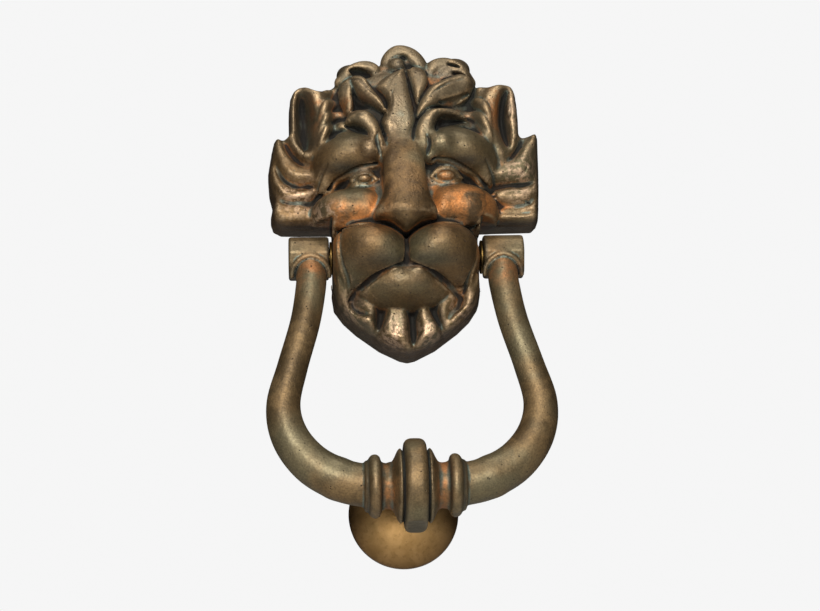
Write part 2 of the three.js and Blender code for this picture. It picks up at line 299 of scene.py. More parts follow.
class Relief:
    """Low forms worked on the front of the clay: now is the depth of the surface over x and z."""

    def __init__(self, clay, soften=0):
        self.clay = clay
        self.old, self.solid = clay.front()
        base = self.old.copy()
        for _ in range(soften):
            for axis in (0, 1):
                base = (np.roll(base, 1, axis) + 2 * base + np.roll(base, -1, axis)) / 4
        self.base = np.where(self.solid, base, self.old)
        self.now = self.base.copy()

    def layer(self):
        """What is made from here on lies on what has been made so far."""
        self.base = self.now.copy()

    def window(self, low, high):
        """The slices of the grid that hold low to high, and its coordinates as open arrays."""
        across, up = self.clay.axes[0], self.clay.axes[2]
        spans = cells_between(across, low[0] - 1, high[0] + 1), cells_between(up, low[1] - 1, high[1] + 1)
        return spans, across[spans[0]][:, None], up[spans[1]][None, :]

    def pad(self, outline, rise, round_, lean=(0, 0)):
        """A pillow inside a closed outline, rise mm high, rounded over round_ mm at its edge."""
        o = loop(outline)
        spans, x, z = self.window(o.min(0), o.max(0))
        share = np.clip(-outline_distance(o, x, z) / round_, 0, 1)
        middle = o.mean(0)
        height = np.maximum(rise + lean[0] * (x - middle[0]) + lean[1] * (z - middle[1]), 0.3)
        top = self.base[spans] - height * np.sqrt(1 - (1 - share) ** 2)
        self.now[spans] = np.minimum(self.now[spans], top)

    def pit(self, outline, deep, round_):
        """A hollow inside a closed outline."""
        o = loop(outline)
        spans, x, z = self.window(o.min(0), o.max(0))
        share = np.clip(-outline_distance(o, x, z) / round_, 0, 1)
        self.now[spans] += deep * share * share * (3 - 2 * share)

    def ribbon(self, points):
        """Share of the half width from a curved line, and share of the way along it."""
        t = spline(points, 8 * len(points))
        reach = t[:, 2].max()
        spans, x, z = self.window(t[:, :2].min(0) - reach, t[:, :2].max(0) + reach)
        shape = np.broadcast(x, z).shape
        nearest, along = np.full(shape, 9.0), np.zeros(shape)
        for i, (a, b) in enumerate(zip(t[:-1], t[1:])):
            dx, dz = b[0] - a[0], b[1] - a[1]
            u = np.clip(((x - a[0]) * dx + (z - a[1]) * dz) / (dx * dx + dz * dz + 1e-9), 0, 1)
            half_width = np.maximum(a[2] + u * (b[2] - a[2]), 0.3)
            share = np.sqrt((x - a[0] - u * dx) ** 2 + (z - a[1] - u * dz) ** 2) / half_width
            along = np.where(share < nearest, (i + u) / (len(t) - 1), along)
            nearest = np.minimum(nearest, share)
        return spans, np.clip(nearest, 0, 1), along

    def lock(self, points, rise, full=0.55):
        """A lock of hair along points of (x, z, half width)."""
        spans, share, along = self.ribbon(points)
        height = np.interp(along, np.linspace(0, 1, len(rise)), rise) * (1 - share**2) ** full
        top = self.base[spans] - height
        self.now[spans] = np.where(share < 1, np.minimum(self.now[spans], top), self.now[spans])

    def groove(self, points, deep):
        """A round-bottomed line along points of (x, z, half width)."""
        spans, share, _ = self.ribbon(points)
        self.now[spans] += deep * (1 - share**2) ** 0.8

    def settle(self, limit=FAR_FRONT):
        """Writes the worked surface back into the clay, no further forward than limit."""
        new = np.maximum(self.now, limit)
        step = self.clay.step
        gx, gz = np.gradient(new, step)
        steep = np.sqrt(1 + np.minimum(gx**2 + gz**2, 9))[:, None, :]
        y = self.clay.axes[1][None, :, None]
        gap = (new[:, None, :] - y) / steep
        field = self.clay.field
        raised = ((new < self.old - 1e-4) & self.solid)[:, None, :] & (y <= self.old[:, None, :] + 3)
        sunk = ((new > self.old + 1e-4) & self.solid)[:, None, :]
        field = np.where(raised, np.minimum(field, gap), field)
        self.clay.field = np.where(sunk, np.maximum(field, gap), field).astype(np.float32)


# ------------------------------------------------------------------ lion mask

RIGHT_EDGE = [
    (0, 59.5), (4.5, 57.5), (8, 52), (12, 53.5), (17, 54.3), (22, 52), (26, 47.5), (29, 42.5),
    (34, 42.5), (40, 43), (43.6, 42.2), (45.2, 39), (45.7, 30), (45.7, 22.5), (49, 23.6),
    (53.3, 25.2), (53.3, 10), (52.6, -4), (52.2, -11), (50, -13.2), (28.4, -13.6), (28.4, -36),
    (28.7, -38.5), (27.8, -44.5), (24.5, -49.5), (19.8, -54), (10.8, -60.7), (3, -64.6), (0, -65.3),
]
LEFT_EDGE = [
    (-4.5, 57.5), (-8.4, 51.5), (-12, 53), (-17, 52.6), (-22, 48.5), (-26, 43.5), (-33, 40),
    (-37, 42.6), (-41, 42.6), (-43.6, 40.5), (-44.4, 34), (-44.4, 23.5), (-47, 22.4),
    (-49.8, 24.2), (-51.3, 18), (-52.8, 9), (-52.4, 2), (-51, -4), (-52, -9), (-51, -12),
    (-48, -13.6), (-28.4, -14.2), (-28.4, -36), (-28.8, -38.5), (-28, -44.5), (-24.5, -49.5),
    (-19.8, -54), (-10.8, -60.7), (-3, -64.6),
]


CHIN_SIDE = [(26, -30), (27.6, -38), (26.8, -44.2), (23.6, -48.8), (19, -53), (10.2, -59.6), (2.6, -63.4)]
CHIN_PLATE = CHIN_SIDE + [(0, -64.2)] + [(-x, z) for x, z in reversed(CHIN_SIDE)]


def skin_depth(clay, line, calm):
    """Depth of the front surface along a line, averaged over calm points each way."""
    window = 2 * calm + 1
    depth = clay.front_at(line[:, 0], line[:, 1])
    return np.convolve(np.pad(depth, calm, "edge"), np.ones(window) / window, "valid")


def score(clay, path, sink, blend=0.3, calm=3):
    """Cuts a line into the front surface along (x, z, radius), its middle sink mm below the skin."""
    line = spline(path, 10 * len(path))
    depth = skin_depth(clay, line, calm)
    clay.carve(strand(np.stack([line[:, 0], depth + sink, line[:, 1], line[:, 2]], 1)), blend)


def join_balls(clay, *balls):
    """Joins balls of (centre, radii, tilt, blend) to the clay."""
    for centre, radii, tilt, blend in balls:
        clay.join(ball(centre, radii, tilt), blend)


def carve_balls(clay, *balls):
    """Scoops out balls of (centre, radii, tilt, blend)."""
    for centre, radii, tilt, blend in balls:
        clay.carve(ball(centre, radii, tilt), blend)


def add_pads(relief, *pads):
    """Pads of (outline, rise, rounding) with an optional lean."""
    for outline, *form in pads:
        relief.pad(outline, *form)


def add_grooves(relief, *grooves):
    """Grooves of (points, depth)."""
    for points, deep in grooves:
        relief.groove(points, deep)


def add_head(clay):
    join_balls(
        clay,
        ((0, -6, 17), (33, 22.5, 28), 0, 5),
        ((0, -9, 38), (29, 13.5, 14), 0, 5),
        ((0, -16, -2), (22, 14, 20), 0, 5),
        ((-14, -17, -4), (10, 12.5, 9), 0, 3),
        ((14, -17, -4), (10, 12.5, 9), 0, 3),
    )
    clay.join(slab(CHIN_PLATE, -18.8, -6, edge=1.4), 0.8)


def add_ears(relief):
    """Two lobes with a bowl in each, rimmed on the inner side."""
    lobe = [(28, 41), (34, 42.4), (40, 43), (44, 42), (45.4, 38), (45.8, 30), (45.6, 22), (42.5, 14),
            (37.5, 8.8), (31, 10), (28, 24)]
    for side in (-1, 1):
        relief.pad([(x * side, z) for x, z in lobe], 6, 3)
    relief.layer()
    for bowl, soft in (
        ([(-41.4, 39.6), (-38.8, 40), (-36.4, 37), (-34.8, 32), (-34.2, 26), (-34.8, 19), (-37, 13.5),
          (-41, 15.5), (-43.3, 23), (-43.4, 33)], 3.4),
        ([(40.6, 41.4), (38.2, 38), (36.4, 32), (36, 26), (37.2, 20), (40.4, 14), (42.4, 17), (42, 23),
          (41, 29), (41.2, 35), (42, 40)], 2.8),
    ):
        relief.pit(bowl, 8, soft)
    relief.layer()
    for rim in (
        [(-38.6, 41.2, 1.4), (-34.6, 38.6, 2.8), (-32.4, 33.6, 3.4), (-31.6, 27, 3.6), (-31.8, 20, 3.2),
         (-33.6, 13, 2.2)],
        [(43.4, 42, 1.2), (38, 40.2, 2.6), (34.2, 35.6, 3.4), (33.2, 29, 3.6), (33.6, 21, 3.2),
         (37.4, 12.6, 2.0)],
    ):
        relief.lock(rim, [1, 3, 4, 4, 3.4, 2], 0.6)
    relief.lock([(-38.8, 21, 0.8), (-38.6, 16.5, 2.2), (-37, 13, 1.6)], [1, 2.4, 1.4])


def add_left_mane(relief):
    add_pads(
        relief,
        ([(-49.8, 24.2), (-47.4, 20), (-44.4, 14.8), (-40.4, 10.6), (-36, 9.2), (-32, 7), (-32.5, 2.2),
          (-38, 1.4), (-43, 1.9), (-47.2, 5.4), (-49.9, 11), (-50.8, 18)], 6.4, 5.4, (0.1, -0.08)),
        ([(-51.6, 17.5), (-50.4, 11), (-47.6, 5), (-43.2, 1.5), (-38, 1), (-34, 0), (-36, -4.2), (-42, -5),
          (-48, -3.4), (-51.5, 2.4), (-52.6, 9)], 4.6, 3.6, (0.08, 0)),
        ([(-51.4, -3.2), (-46, -5), (-39, -5.4), (-36, -9), (-39, -12.8), (-48, -13.2), (-51.8, -10)],
         3.6, 3.2),
        ([(-37, -5), (-33, -7), (-29, -10), (-29, -14), (-36, -13.8), (-39, -12), (-38.4, -8)], 3, 2.6),
    )
    add_grooves(
        relief,
        ([(-49, 20, 0.3), (-47, 12.5, 0.8), (-42, 7.6, 0.8), (-37, 6.4, 0.3)], 0.8),
        ([(-50, 2, 0.3), (-46, -1.2, 0.7), (-40, -2.2, 0.3)], 0.7),
    )


def add_right_mane(relief):
    add_pads(
        relief,
        ([(53.2, 25), (50, 21.5), (47.4, 19.5), (45.3, 16.2), (42, 12.4), (36, 9.4), (32, 6), (35, 1.8),
          (44, 2), (49.8, 3.8), (51, 10), (52.2, 18)], 6.4, 5.2, (-0.1, -0.08)),
        ([(53.3, 9), (51.4, 3.4), (46, 1), (39.5, 0.8), (33, -2), (36, -6.2), (45, -6.6), (50, -4), (53, -1)],
         4.8, 3.6, (-0.08, 0)),
        ([(52.8, -1.8), (50, -4.8), (45, -7.3), (39.5, -7.3), (34, -8), (37, -10), (46, -9.6), (52.4, -9)],
         3.2, 2.2),
        ([(52.4, -9.6), (45, -10.2), (36, -10.2), (32, -12), (34, -13.6), (50, -13.3), (52.2, -11.6)],
         3.6, 2),
    )
    relief.groove([(49.6, 21.5, 0.3), (49.2, 16, 0.8), (48.2, 10, 0.4)], 1.0)


def add_beard(relief):
    """The chin plate's tufts: an outer pair that runs up the jaw, and four between them."""
    add_pads(
        relief,
        ([(-27, -36), (-23.6, -38.4), (-21.6, -43), (-22.4, -47), (-19.4, -50.4), (-15.4, -50),
          (-12.4, -52.6), (-12.2, -57.4), (-16, -55.6), (-20.6, -51.8), (-25, -47), (-27.2, -42)], 3.4, 2.6),
        ([(27, -36), (23.6, -38.4), (22, -43), (21, -47.6), (17.4, -50), (15.4, -53), (14.4, -56.8),
          (18.6, -53.6), (23.4, -48.8), (26.6, -44)], 3.2, 2.4),
        ([(-9.4, -44), (-9, -50), (-10, -55.6), (-9.4, -59.6), (-4.6, -62), (-1, -63.6), (-0.2, -58.6),
          (0.2, -51), (-1, -44)], 3.4, 2),
        ([(3.4, -44), (3.6, -52), (4.2, -57.6), (3, -62.6), (8, -60.4), (11.6, -58), (11, -54), (8.4, -50),
          (8, -44)], 3.2, 2),
        ([(-17.6, -42), (-18, -46.4), (-15.2, -50.4), (-12.4, -50), (-11.8, -42)], 2, 1.6),
        ([(11, -42), (11.4, -49), (13.6, -53.4), (15.2, -49.6), (17.6, -45.6), (17.6, -42)], 2.4, 1.6),
    )
    add_grooves(
        relief,
        ([(1.2, -47, 1.6), (1.4, -54, 2.0), (1.8, -59.6, 1.7), (1.7, -63.6, 0.6)], 4),
        ([(-10.6, -46, 1.4), (-10.4, -51, 1.9), (-12, -55.4, 1.8), (-13.6, -58.8, 0.6)], 4),
        ([(9.4, -47, 0.9), (10.4, -52, 1.3), (12.8, -56.4, 1.2), (14, -58.6, 0.5)], 3),
        ([(-19.8, -41, 1.2), (-22, -45.6, 1.4), (-18.6, -49.6, 1.2), (-15, -50.6, 0.4)], 2.6),
        ([(19.6, -42, 0.8), (19.8, -47, 1.2), (16.4, -52, 0.8), (15.4, -55, 0.3)], 2.2),
        ([(-5.4, -52, 0.2), (-4.8, -56.6, 0.8), (-6, -60.4, 0.2)], 1.0),
        ([(6.6, -50, 0.2), (7.4, -54.6, 0.7), (6.6, -58.4, 0.2)], 1.0),
        ([(-25, -40, 0.2), (-24, -45.4, 0.7), (-20, -51, 0.2)], 0.9),
        ([(24.4, -39, 0.2), (24.4, -44.6, 0.7), (21.4, -49.6, 0.2)], 0.9),
    )


def add_hair_strands(relief):
    """Flat strands that sweep from the brows to the ears."""
    for path, rise in (
        ([(-17, 17, 1), (-23, 20.4, 2.2), (-29, 18, 2), (-33, 11.6, 0.8)], 2),
        ([(-19.4, 22.4, 1), (-24.6, 25.2, 2.2), (-29.6, 22.4, 2), (-33, 16, 0.8)], 2.4),
        ([(-21.4, 29.4, 1), (-25.8, 30.4, 2), (-30, 27, 2), (-33, 20.4, 0.8)], 2.6),
        ([(-24.4, 36, 1), (-27.6, 34.6, 2), (-30.6, 30.6, 2), (-32.8, 25.4, 0.8)], 2.6),
        ([(20, 25.4, 1), (26, 25.4, 2.2), (31, 19.4, 2.2), (34.4, 11.6, 0.8)], 2.2),
        ([(22.6, 30.6, 1), (27.4, 29.4, 2.2), (31.6, 23.8, 2), (34, 16.4, 0.8)], 2.6),
        ([(26, 36.4, 1), (29.4, 33.8, 2), (32.4, 28.8, 1.8), (33.8, 22, 0.8)], 2.6),
    ):
        relief.lock(path, [0.5, rise, rise, 0.5], 0.7)


def add_back_locks(relief):
    add_pads(
        relief,
        ([(1.4, 48.5), (5, 50), (8.6, 48.4), (10, 43), (8.8, 37.5), (6.4, 33.6), (5, 31.4), (3.6, 36),
          (2.4, 41.5)], 5, 2.8, (0.15, 0)),
        ([(-20.4, 45.4), (-23.8, 43.6), (-25.2, 39.8), (-24.8, 35.6), (-23.6, 31.8), (-21.8, 28.4),
          (-19.8, 29.8), (-19, 33.5), (-19.4, 37), (-19, 41)], 5, 2.4),
        ([(-6.6, 28), (-8.4, 33.5), (-10.8, 37.4), (-12.8, 41), (-14, 44), (-16.4, 46.2), (-19.4, 46.4),
          (-21.4, 44.4), (-20.6, 41), (-18.6, 37.4), (-16.2, 34.4), (-13.4, 32.2), (-10, 29.6)],
         6.5, 3.2, (0.12, 0)),
        ([(4.4, 26), (5.4, 31.5), (8, 36.8), (11, 40.4), (14.8, 43), (18.6, 45.4), (22.6, 47.2), (26.4, 46.6),
          (28.4, 43), (26.8, 38), (23.4, 34.4), (18.4, 32.6), (13.4, 31), (8.6, 28.4)], 6.5, 3.8, (0, 0.12)),
    )


def add_front_locks(relief):
    """The middle lock down to the nose, and a hook beside it over each brow."""
    add_pads(
        relief,
        ([(-6.6, -2), (-7.4, 15), (-8.6, 21.5), (-9.2, 24.6), (-7.2, 29.6), (-6.6, 32.5), (-8, 36),
          (-10.4, 40), (-6.4, 44.8), (-2, 47.8), (0.8, 48.8), (1.8, 42.8), (2.6, 37), (3.8, 30), (4.6, 25),
          (3.6, 20), (2.8, 14), (4, -2)], 4.6, 3.4, (0, 0.03)),
        ([(-7.2, 12), (-8.4, 20), (-10.4, 25.4), (-13, 28.6), (-16.4, 30.2), (-19.6, 30.2), (-22.2, 28),
          (-22.4, 25), (-18.8, 23.4), (-16, 20.6), (-13.8, 16.4), (-12.4, 12), (-10, 9)], 6.4, 3.4),
        ([(3.4, 9), (3.2, 18.5), (4.8, 24.4), (7.6, 28.2), (10.8, 30), (15, 30.4), (19.6, 30.6), (23.4, 28.4),
          (25, 26.4), (19, 27), (14.8, 26.8), (12.6, 24.4), (11.8, 21), (12, 16), (12, 9), (8, 7)], 6.4, 3.2),
    )
    relief.pit([(12.8, 22.6), (13, 26), (15.6, 27.4), (21, 27.4), (24.4, 26), (20, 24), (15, 22.4)], 3.6, 1.8)
    relief.pit([(-19.6, 37.6), (-17, 34.6), (-13, 31.6), (-16, 30.8), (-19.6, 31.6)], 2.6, 1.6)
    add_grooves(
        relief,
        ([(13.4, 32.4, 0.4), (19.6, 34.2, 1.2), (25.6, 38, 0.5)], 2.2),
        ([(-13.4, 14, 0.4), (-15.4, 19.6, 1.2), (-19.4, 22.8, 1.3), (-22.8, 24.4, 0.4)], 2.6),
        ([(-14, 39, 0.3), (-17, 42.6, 0.7), (-20, 43.6, 0.3)], 0.7),
        ([(13, 37.4, 0.3), (18, 41, 0.7), (24, 43.4, 0.3)], 0.7),
    )


def add_hair(relief):
    add_hair_strands(relief)
    relief.layer()
    add_back_locks(relief)
    relief.layer()
    add_front_locks(relief)


def add_brows(clay):
    """Each brow is one ridge with a knot at its inner end and a tail down to the cheek."""
    for side, z, knot_z, knot_up, tail_x, tail_z in ((-1, 12, 12.2, 7, 30.8, 4), (1, 14.2, 14.6, 6.6, 31, 7)):
        join_balls(
            clay,
            ((22.5 * side, -17, z), (14.4, 14.8, 9.4), -22 * side, 1.5),
            ((14 * side, -21, knot_z), (7.5, 13.2, knot_up), -10 * side, 3),
            ((tail_x * side, -12.5, tail_z), (5.8, 12, 8.2), -12 * side, 2.5),
        )


def add_cheeks(clay):
    join_balls(
        clay,
        ((-23, -16.5, -9.6), (13.6, 15, 9.2), 6, 1.2),
        ((-15, -19.5, -10.4), (7.4, 12.4, 8), 12, 5),
        ((22.6, -16, -9), (13.6, 15.6, 10.4), -6, 1.2),
        ((14, -19.5, -10.4), (6, 12.4, 8), -14, 5),
    )
    carve_balls(clay, ((26, -24, -20.4), (4.6, 7, 3.4), -30, 1.2), ((-27, -22, -19.4), (3.6, 6, 2.2), 24, 1))


def cut_lines(clay, blend, count, *paths):
    """Cuts round-bottomed lines along paths of (x, y, z, radius)."""
    for path in paths:
        clay.carve(strand(spline(path, count)), blend)


def add_eye(clay, side, x, z, size):
    """An almond between two lids."""
    clay.join(ball((x, -21.6, z), (4.8 * size, 5, 3.2 * size)), 0.4)
    upper = [(-5.8, -0.6, 0.5), (-2.6, 2.7, 0.9), (2, 3, 1.0), (7, -0.4, 0.6)]
    lower = [(-5.6, -0.8, 0.5), (-1.4, -3, 0.7), (3, -2.7, 0.7), (6.4, -0.8, 0.5)]
    for lid, rise in ((upper, 1.3), (lower, 0.6)):
        line = spline([(x + u * side * size, z + v * size, r) for u, v, r in lid], 32)
        depth = skin_depth(clay, line, 2) + line[:, 2] - rise
        clay.join(strand(np.stack([line[:, 0], depth, line[:, 1], line[:, 2]], 1)), 0.35)


def add_eyes(clay):
    """The sockets under the brows, the folds below them, the eyes and the slits beside the nose."""
    cut_lines(
        clay, 0.3, 40,
        [(-9.8, -33, 3.6, 3), (-15, -30.5, 2.4, 3.6), (-21.5, -28, 1, 3.4), (-28, -24.5, -1.4, 2.4),
         (-34, -19, -4.4, 1.2)],
        [(9.4, -33, 5, 3.2), (14.6, -30.5, 4.4, 4.2), (21, -28, 2.8, 3.8), (27.5, -24.5, 0.4, 2.6),
         (34.4, -18.5, -2.8, 1.2)],
    )
    cut_lines(
        clay, 0.2, 40,
        [(-11.4, -28, 7, 1.3), (-17, -27.5, 5.6, 1.4), (-23, -25, 3.4, 1.3), (-29, -21, 0.2, 1.1),
         (-34, -16, -3, 0.8)],
        [(11, -28, 8.6, 1.3), (17, -27.5, 7.8, 1.5), (23, -25, 5.6, 1.4), (29, -21, 2.2, 1.1),
         (34.4, -15.5, -1.4, 0.8)],
    )
    add_eye(clay, -1, -15.8, 2.4, 0.78)
    add_eye(clay, 1, 15.4, 3.4, 0.95)
    cut_lines(
        clay, 0.4, 20,
        [(-10.6, -31, 21, 0.5), (-10.6, -33, 15.5, 1.5), (-10, -35.5, 8, 0.9)],
        [(8.3, -31, 20, 0.5), (8.4, -33, 14.5, 1.4), (8.2, -35.5, 8.6, 0.9)],
    )


def add_nose(clay):
    """A wedge that comes forward as it goes down, flat on top and cut back under its tip."""
    outline = [(-3, 28), (-6.4, 18), (-8.6, 9), (-8.8, -3), (-10, -9.6), (-12.8, -15.4), (-11.8, -17.4),
               (-7, -18.6), (-3.6, -20.6), (-1, -21.8), (1.6, -20.6), (5, -18.6), (9.8, -17.2),
               (10.8, -15.4), (8.4, -9.6), (7.2, -3), (6.6, 9), (3.6, 18), (1, 28)]

    def front(x, z):
        down = np.clip((18 - z) / 35, 0, 1)
        under = np.clip((-13.4 - z) / 10, 0, 1.2)
        y = -32 - 16.5 * down**0.95 + 0.022 * np.clip(z - 4, 0, 24) ** 2
        return y + 9.5 * under**1.7 + 0.035 * (x + 1) ** 2

    clay.join(slab(loop(outline, 3), 0, -14, edge=2.4, front=front), 3.5)


def add_muzzle(clay):
    """The lower lip, two whisker pads, and the cleft and mouth line scored between them."""
    clay.join(ball((-1.2, -18, -41.8), (17.2, 15, 8), 0, -14), 0.4)
    for side, x, reach in ((-1, -1, 14.6), (1, -0.8, 13.8)):
        join_balls(
            clay,
            ((x + 12.6 * side, -24.6, -27.2), (reach, 17.8, 10.3), 6 * side, 0.8),
            ((x + 18.6 * side, -20, -29), (9, 15.6, 12), 14 * side, 6),
            ((x + 8 * side, -24, -30), (9, 15.4, 7), 26 * side, 4),
        )
    score(clay, [(-1, -24.4, 1), (-1, -27, 1.1), (-1, -30, 1.2), (-1, -33.6, 1.5)], 0.5)
    mouth = [(-22.4, -44.6, 0.9), (-18.6, -41.4, 1.4), (-12.4, -38, 1.4), (-6, -35.4, 1.2), (-1, -34.4, 1.3),
             (4.2, -35.4, 1.2), (10.6, -38, 1.4), (16.6, -41.4, 1.4), (20.4, -44.6, 0.9)]
    score(clay, mouth, 0.4, calm=8)


def add_scratches(clay):
    """Slits beside the nose's root, folds round the cheeks and jaw, and strokes of the chaser's tool."""
    for path in (
        [(-10.4, 19.6, 0.3), (-10.9, 15.5, 1.1), (-9.8, 9.4, 0.6)],
        [(8.2, 18.8, 0.3), (8.9, 14.6, 1.1), (8.2, 10, 0.6)],
        [(-25.4, -19, 0.6), (-26.4, -25, 1.1), (-26, -32, 1.2), (-23.4, -39, 1.1), (-22.2, -43, 0.6)],
        [(25.2, -19, 0.6), (26.4, -25, 1.1), (25.8, -32, 1.2), (22.6, -39, 1.1), (21, -43, 0.6)],
        [(-30, 7.5, 0.3), (-33, 2.5, 0.8), (-34.4, -2, 0.4)],
        [(31, 9, 0.3), (34, 4, 0.8), (35, 0, 0.4)],
        [(-27.6, -17.5, 0.8), (-21, -19.4, 1.0), (-15.4, -18.8, 0.7)],
        [(27.4, -16.6, 0.9), (20.4, -19, 1.0), (14, -18.6, 0.7)],
    ):
        score(clay, path, 0.2)
    for width, strokes in (
        (0.45, (((42.5, 13), (44.6, 16.4), (47.4, 17.6)), ((40.4, 27), (41.8, 30.6), (41.6, 34.4)),
                ((43.2, 3.4), (46.8, 6), (48, 9.4)), ((-46, 10.6), (-43, 7.4), (-39, 6.2)),
                ((-48.4, 2.4), (-45, -0.6), (-40.4, -1.4)))),
        (0.4, (((38.4, -3), (43, -2.2), (49, -2.6)), ((41, -5.4), (46.4, -5.2), (50, -6.6)),
               ((38, -11.6), (44, -12), (50, -11.4)), ((-49, -7), (-44.6, -8.6), (-40.6, -8.4)),
               ((-39.4, 12), (-38.6, 17), (-39, 21)), ((-6.6, 38), (-4.4, 42.6), (-1.4, 45.6)),
               ((-4.4, 30), (-4.6, 36), (-2.6, 40.4)), ((9, 33), (13, 37.4), (18.6, 41)),
               ((-9.6, 33.4), (-13.6, 37.6), (-17, 41.6)))),
    ):
        for start, middle, end in strokes:
            score(clay, [(*start, 0.2), (*middle, width), (*end, 0.2)], 0.1, 0.15)


def add_curls(clay):
    """Three rolled curls along the crown."""
    join_balls(
        clay,
        ((0.4, -10, 52.4), (7.6, 7.5, 6.6), 0, 1),
        ((-17, -10, 47.4), (8.8, 7, 5.8), -24, 1),
        ((18.6, -11, 48.4), (9.4, 8.5, 6.4), 28, 1),
    )
    for path in (
        [(7.6, -16, 46.6, 3), (7, -16, 51.4, 3.2), (3.6, -16, 55.4, 3.3), (-1.4, -15.6, 57, 3),
         (-5.2, -15.4, 54, 2.6), (-6, -15, 50.4, 2), (-4, -14.6, 48, 1.4)],
        [(-9.6, -15, 45.6, 1.8), (-10.8, -16, 49.6, 2.5), (-14.8, -16, 50.9, 2.6), (-19.8, -16, 48.8, 2.8),
         (-23.6, -16, 44.4, 2.9)],
        [(10.8, -15.5, 46.2, 2.4), (12.4, -16.5, 50, 3), (17.2, -16.5, 51.3, 3.1), (22.6, -16.5, 48.8, 3.1),
         (26.4, -15.5, 44, 2.8)],
        [(14, -16.5, 49, 1.8), (17.4, -17, 48.6, 2.2), (21.6, -17, 48.4, 2.2), (25, -16, 46, 1.8)],
    ):
        clay.join(strand(spline(path, 8 * len(path))), 0.6)
    clay.join(ball((-1.6, -14.5, 51), (4.6, 5.6, 3.8), -20), 1)
    carve_balls(
        clay,
        ((0.8, -21, 54.2), (2, 4.4, 1.1), -24, 0.6),
        ((2.4, -19.6, 49.6), (0.8, 3, 3.4), 30, 0.6),
        ((-16.2, -18.5, 47.9), (4.6, 5, 2.0), -14, 0.6),
        ((20.4, -20.5, 50.4), (3, 4, 0.8), -16, 0.4),
        ((22.4, -20.5, 46.6), (3.2, 4, 0.8), -16, 0.4),
    )


def box_blur(values, half, axis):
    """Running mean over 2 * half + 1 cells."""
    pad = [(0, 0)] * 3
    pad[axis] = (half + 1, half)
    total = np.cumsum(np.pad(values, pad, "edge"), axis=axis, dtype=np.float32)
    ahead, behind = [slice(None)] * 3, [slice(None)] * 3
    ahead[axis], behind[axis] = slice(2 * half + 1, None), slice(None, -2 * half - 1)
    return (total[tuple(ahead)] - total[tuple(behind)]) / (2 * half + 1)


def blurred(values, radius, step=STEP, passes=2):
    half = max(1, round(radius / step))
    for _ in range(passes):
        for axis in range(3):
            values = box_blur(values, half, axis)
    return values


def hollow_back(clay):
    """Takes out the back of the casting, leaving its wall and its rim; open at the back."""
    core = clay.field < 0
    behind = int(np.argmax(clay.axes[1] > -1))
    core[:, behind:, :] = core[:, behind - 1, None, :]
    for turn in range(round(WALL / clay.step)):
        shrunk = core.copy()
        for axis in range(3):
            for shift in (1, -1):
                shrunk &= np.roll(core, shift, axis)
        if turn % 2:
            for axes, a, b in product(((0, 1), (1, 2), (0, 2)), (1, -1), (1, -1)):
                shrunk &= np.roll(core, (a, b), axes)
        shrunk[:, -2:, :] = shrunk[:, -3:-2, :]
        core = shrunk
    share = blurred(core.astype(np.float32), 1.0, clay.step)
    clay.field = np.maximum(clay.field, (share - 0.5) * 4).astype(np.float32)


def add_back_parts(clay):
    """Fixing bosses, the rib between them, and the pivot bosses, with their bores."""
    for z in STUD_HEIGHTS:
        clay.join(bar(1, BOSS_RADIUS, -BOSS_DEPTH, 0, 0, z, 0.6), 1)
    half = RIB_WIDTH / 2
    upper, lower = STUD_HEIGHTS
    rib = [(-half, lower), (half, lower), (half, upper), (-half, upper)]
    clay.join(slab(rib, -RIB_DEPTH, 0, edge=0.5), 1)
    for side in (-1, 1):
        boss = on_side(side, PIVOT_BOSS_INNER, JAW_HALF_WIDTH - 1)
        clay.join(bar(0, BOSS_RADIUS, *boss, PIVOT_Y, PIVOT_Z, 0.4), 1)
        bore = on_side(side, PIVOT_TIP_X, JAW_HALF_WIDTH + 4)
        clay.carve(bar(0, PIVOT_THREAD + CLEARANCE, *bore, PIVOT_Y, PIVOT_Z))
    for z in STUD_HEIGHTS:
        clay.carve(bar(1, STUD_RADIUS + CLEARANCE, -STUD_DEPTH, 4, 0, z))


def clear_knuckle_room(clay):
    """Flat jaw sides and a flat underside to the ledges, where the knuckles turn."""
    floor = KNUCKLE_ROOM_FLOOR
    room = [(FAR_FRONT, floor), (10, floor), (10, LEDGE_Z), (FAR_FRONT, LEDGE_Z)]
    for side in (-1, 1):
        clay.carve(slab(room, *on_side(side, JAW_HALF_WIDTH, 60), axis=0, edge=0.3))


def sculpt_lion():
    """The mask: flat panels and head, low relief, then the features, then its hollow back."""
    clay = Clay((-58, -57, -69), (58, 2.5, 64))
    clay.join(slab(RIGHT_EDGE + LEFT_EDGE[::-1], -PANEL_DEPTH, 0, edge=0.6))
    add_head(clay)
    relief = Relief(clay)
    for add in (add_ears, add_left_mane, add_right_mane, add_beard):
        add(relief)
    relief.settle(-24)
    relief = Relief(clay, soften=6)
    add_hair(relief)
    relief.settle()
    for add in (add_brows, add_cheeks, add_eyes, add_curls, add_nose, add_muzzle, add_scratches):
        add(clay)
    clear_knuckle_room(clay)
    clay.field = np.maximum(clay.field, clay.axes[1][None, :, None])
    hollow_back(clay)
    add_back_parts(clay)
    return clay


# ------------------------------------------------------------------ bail

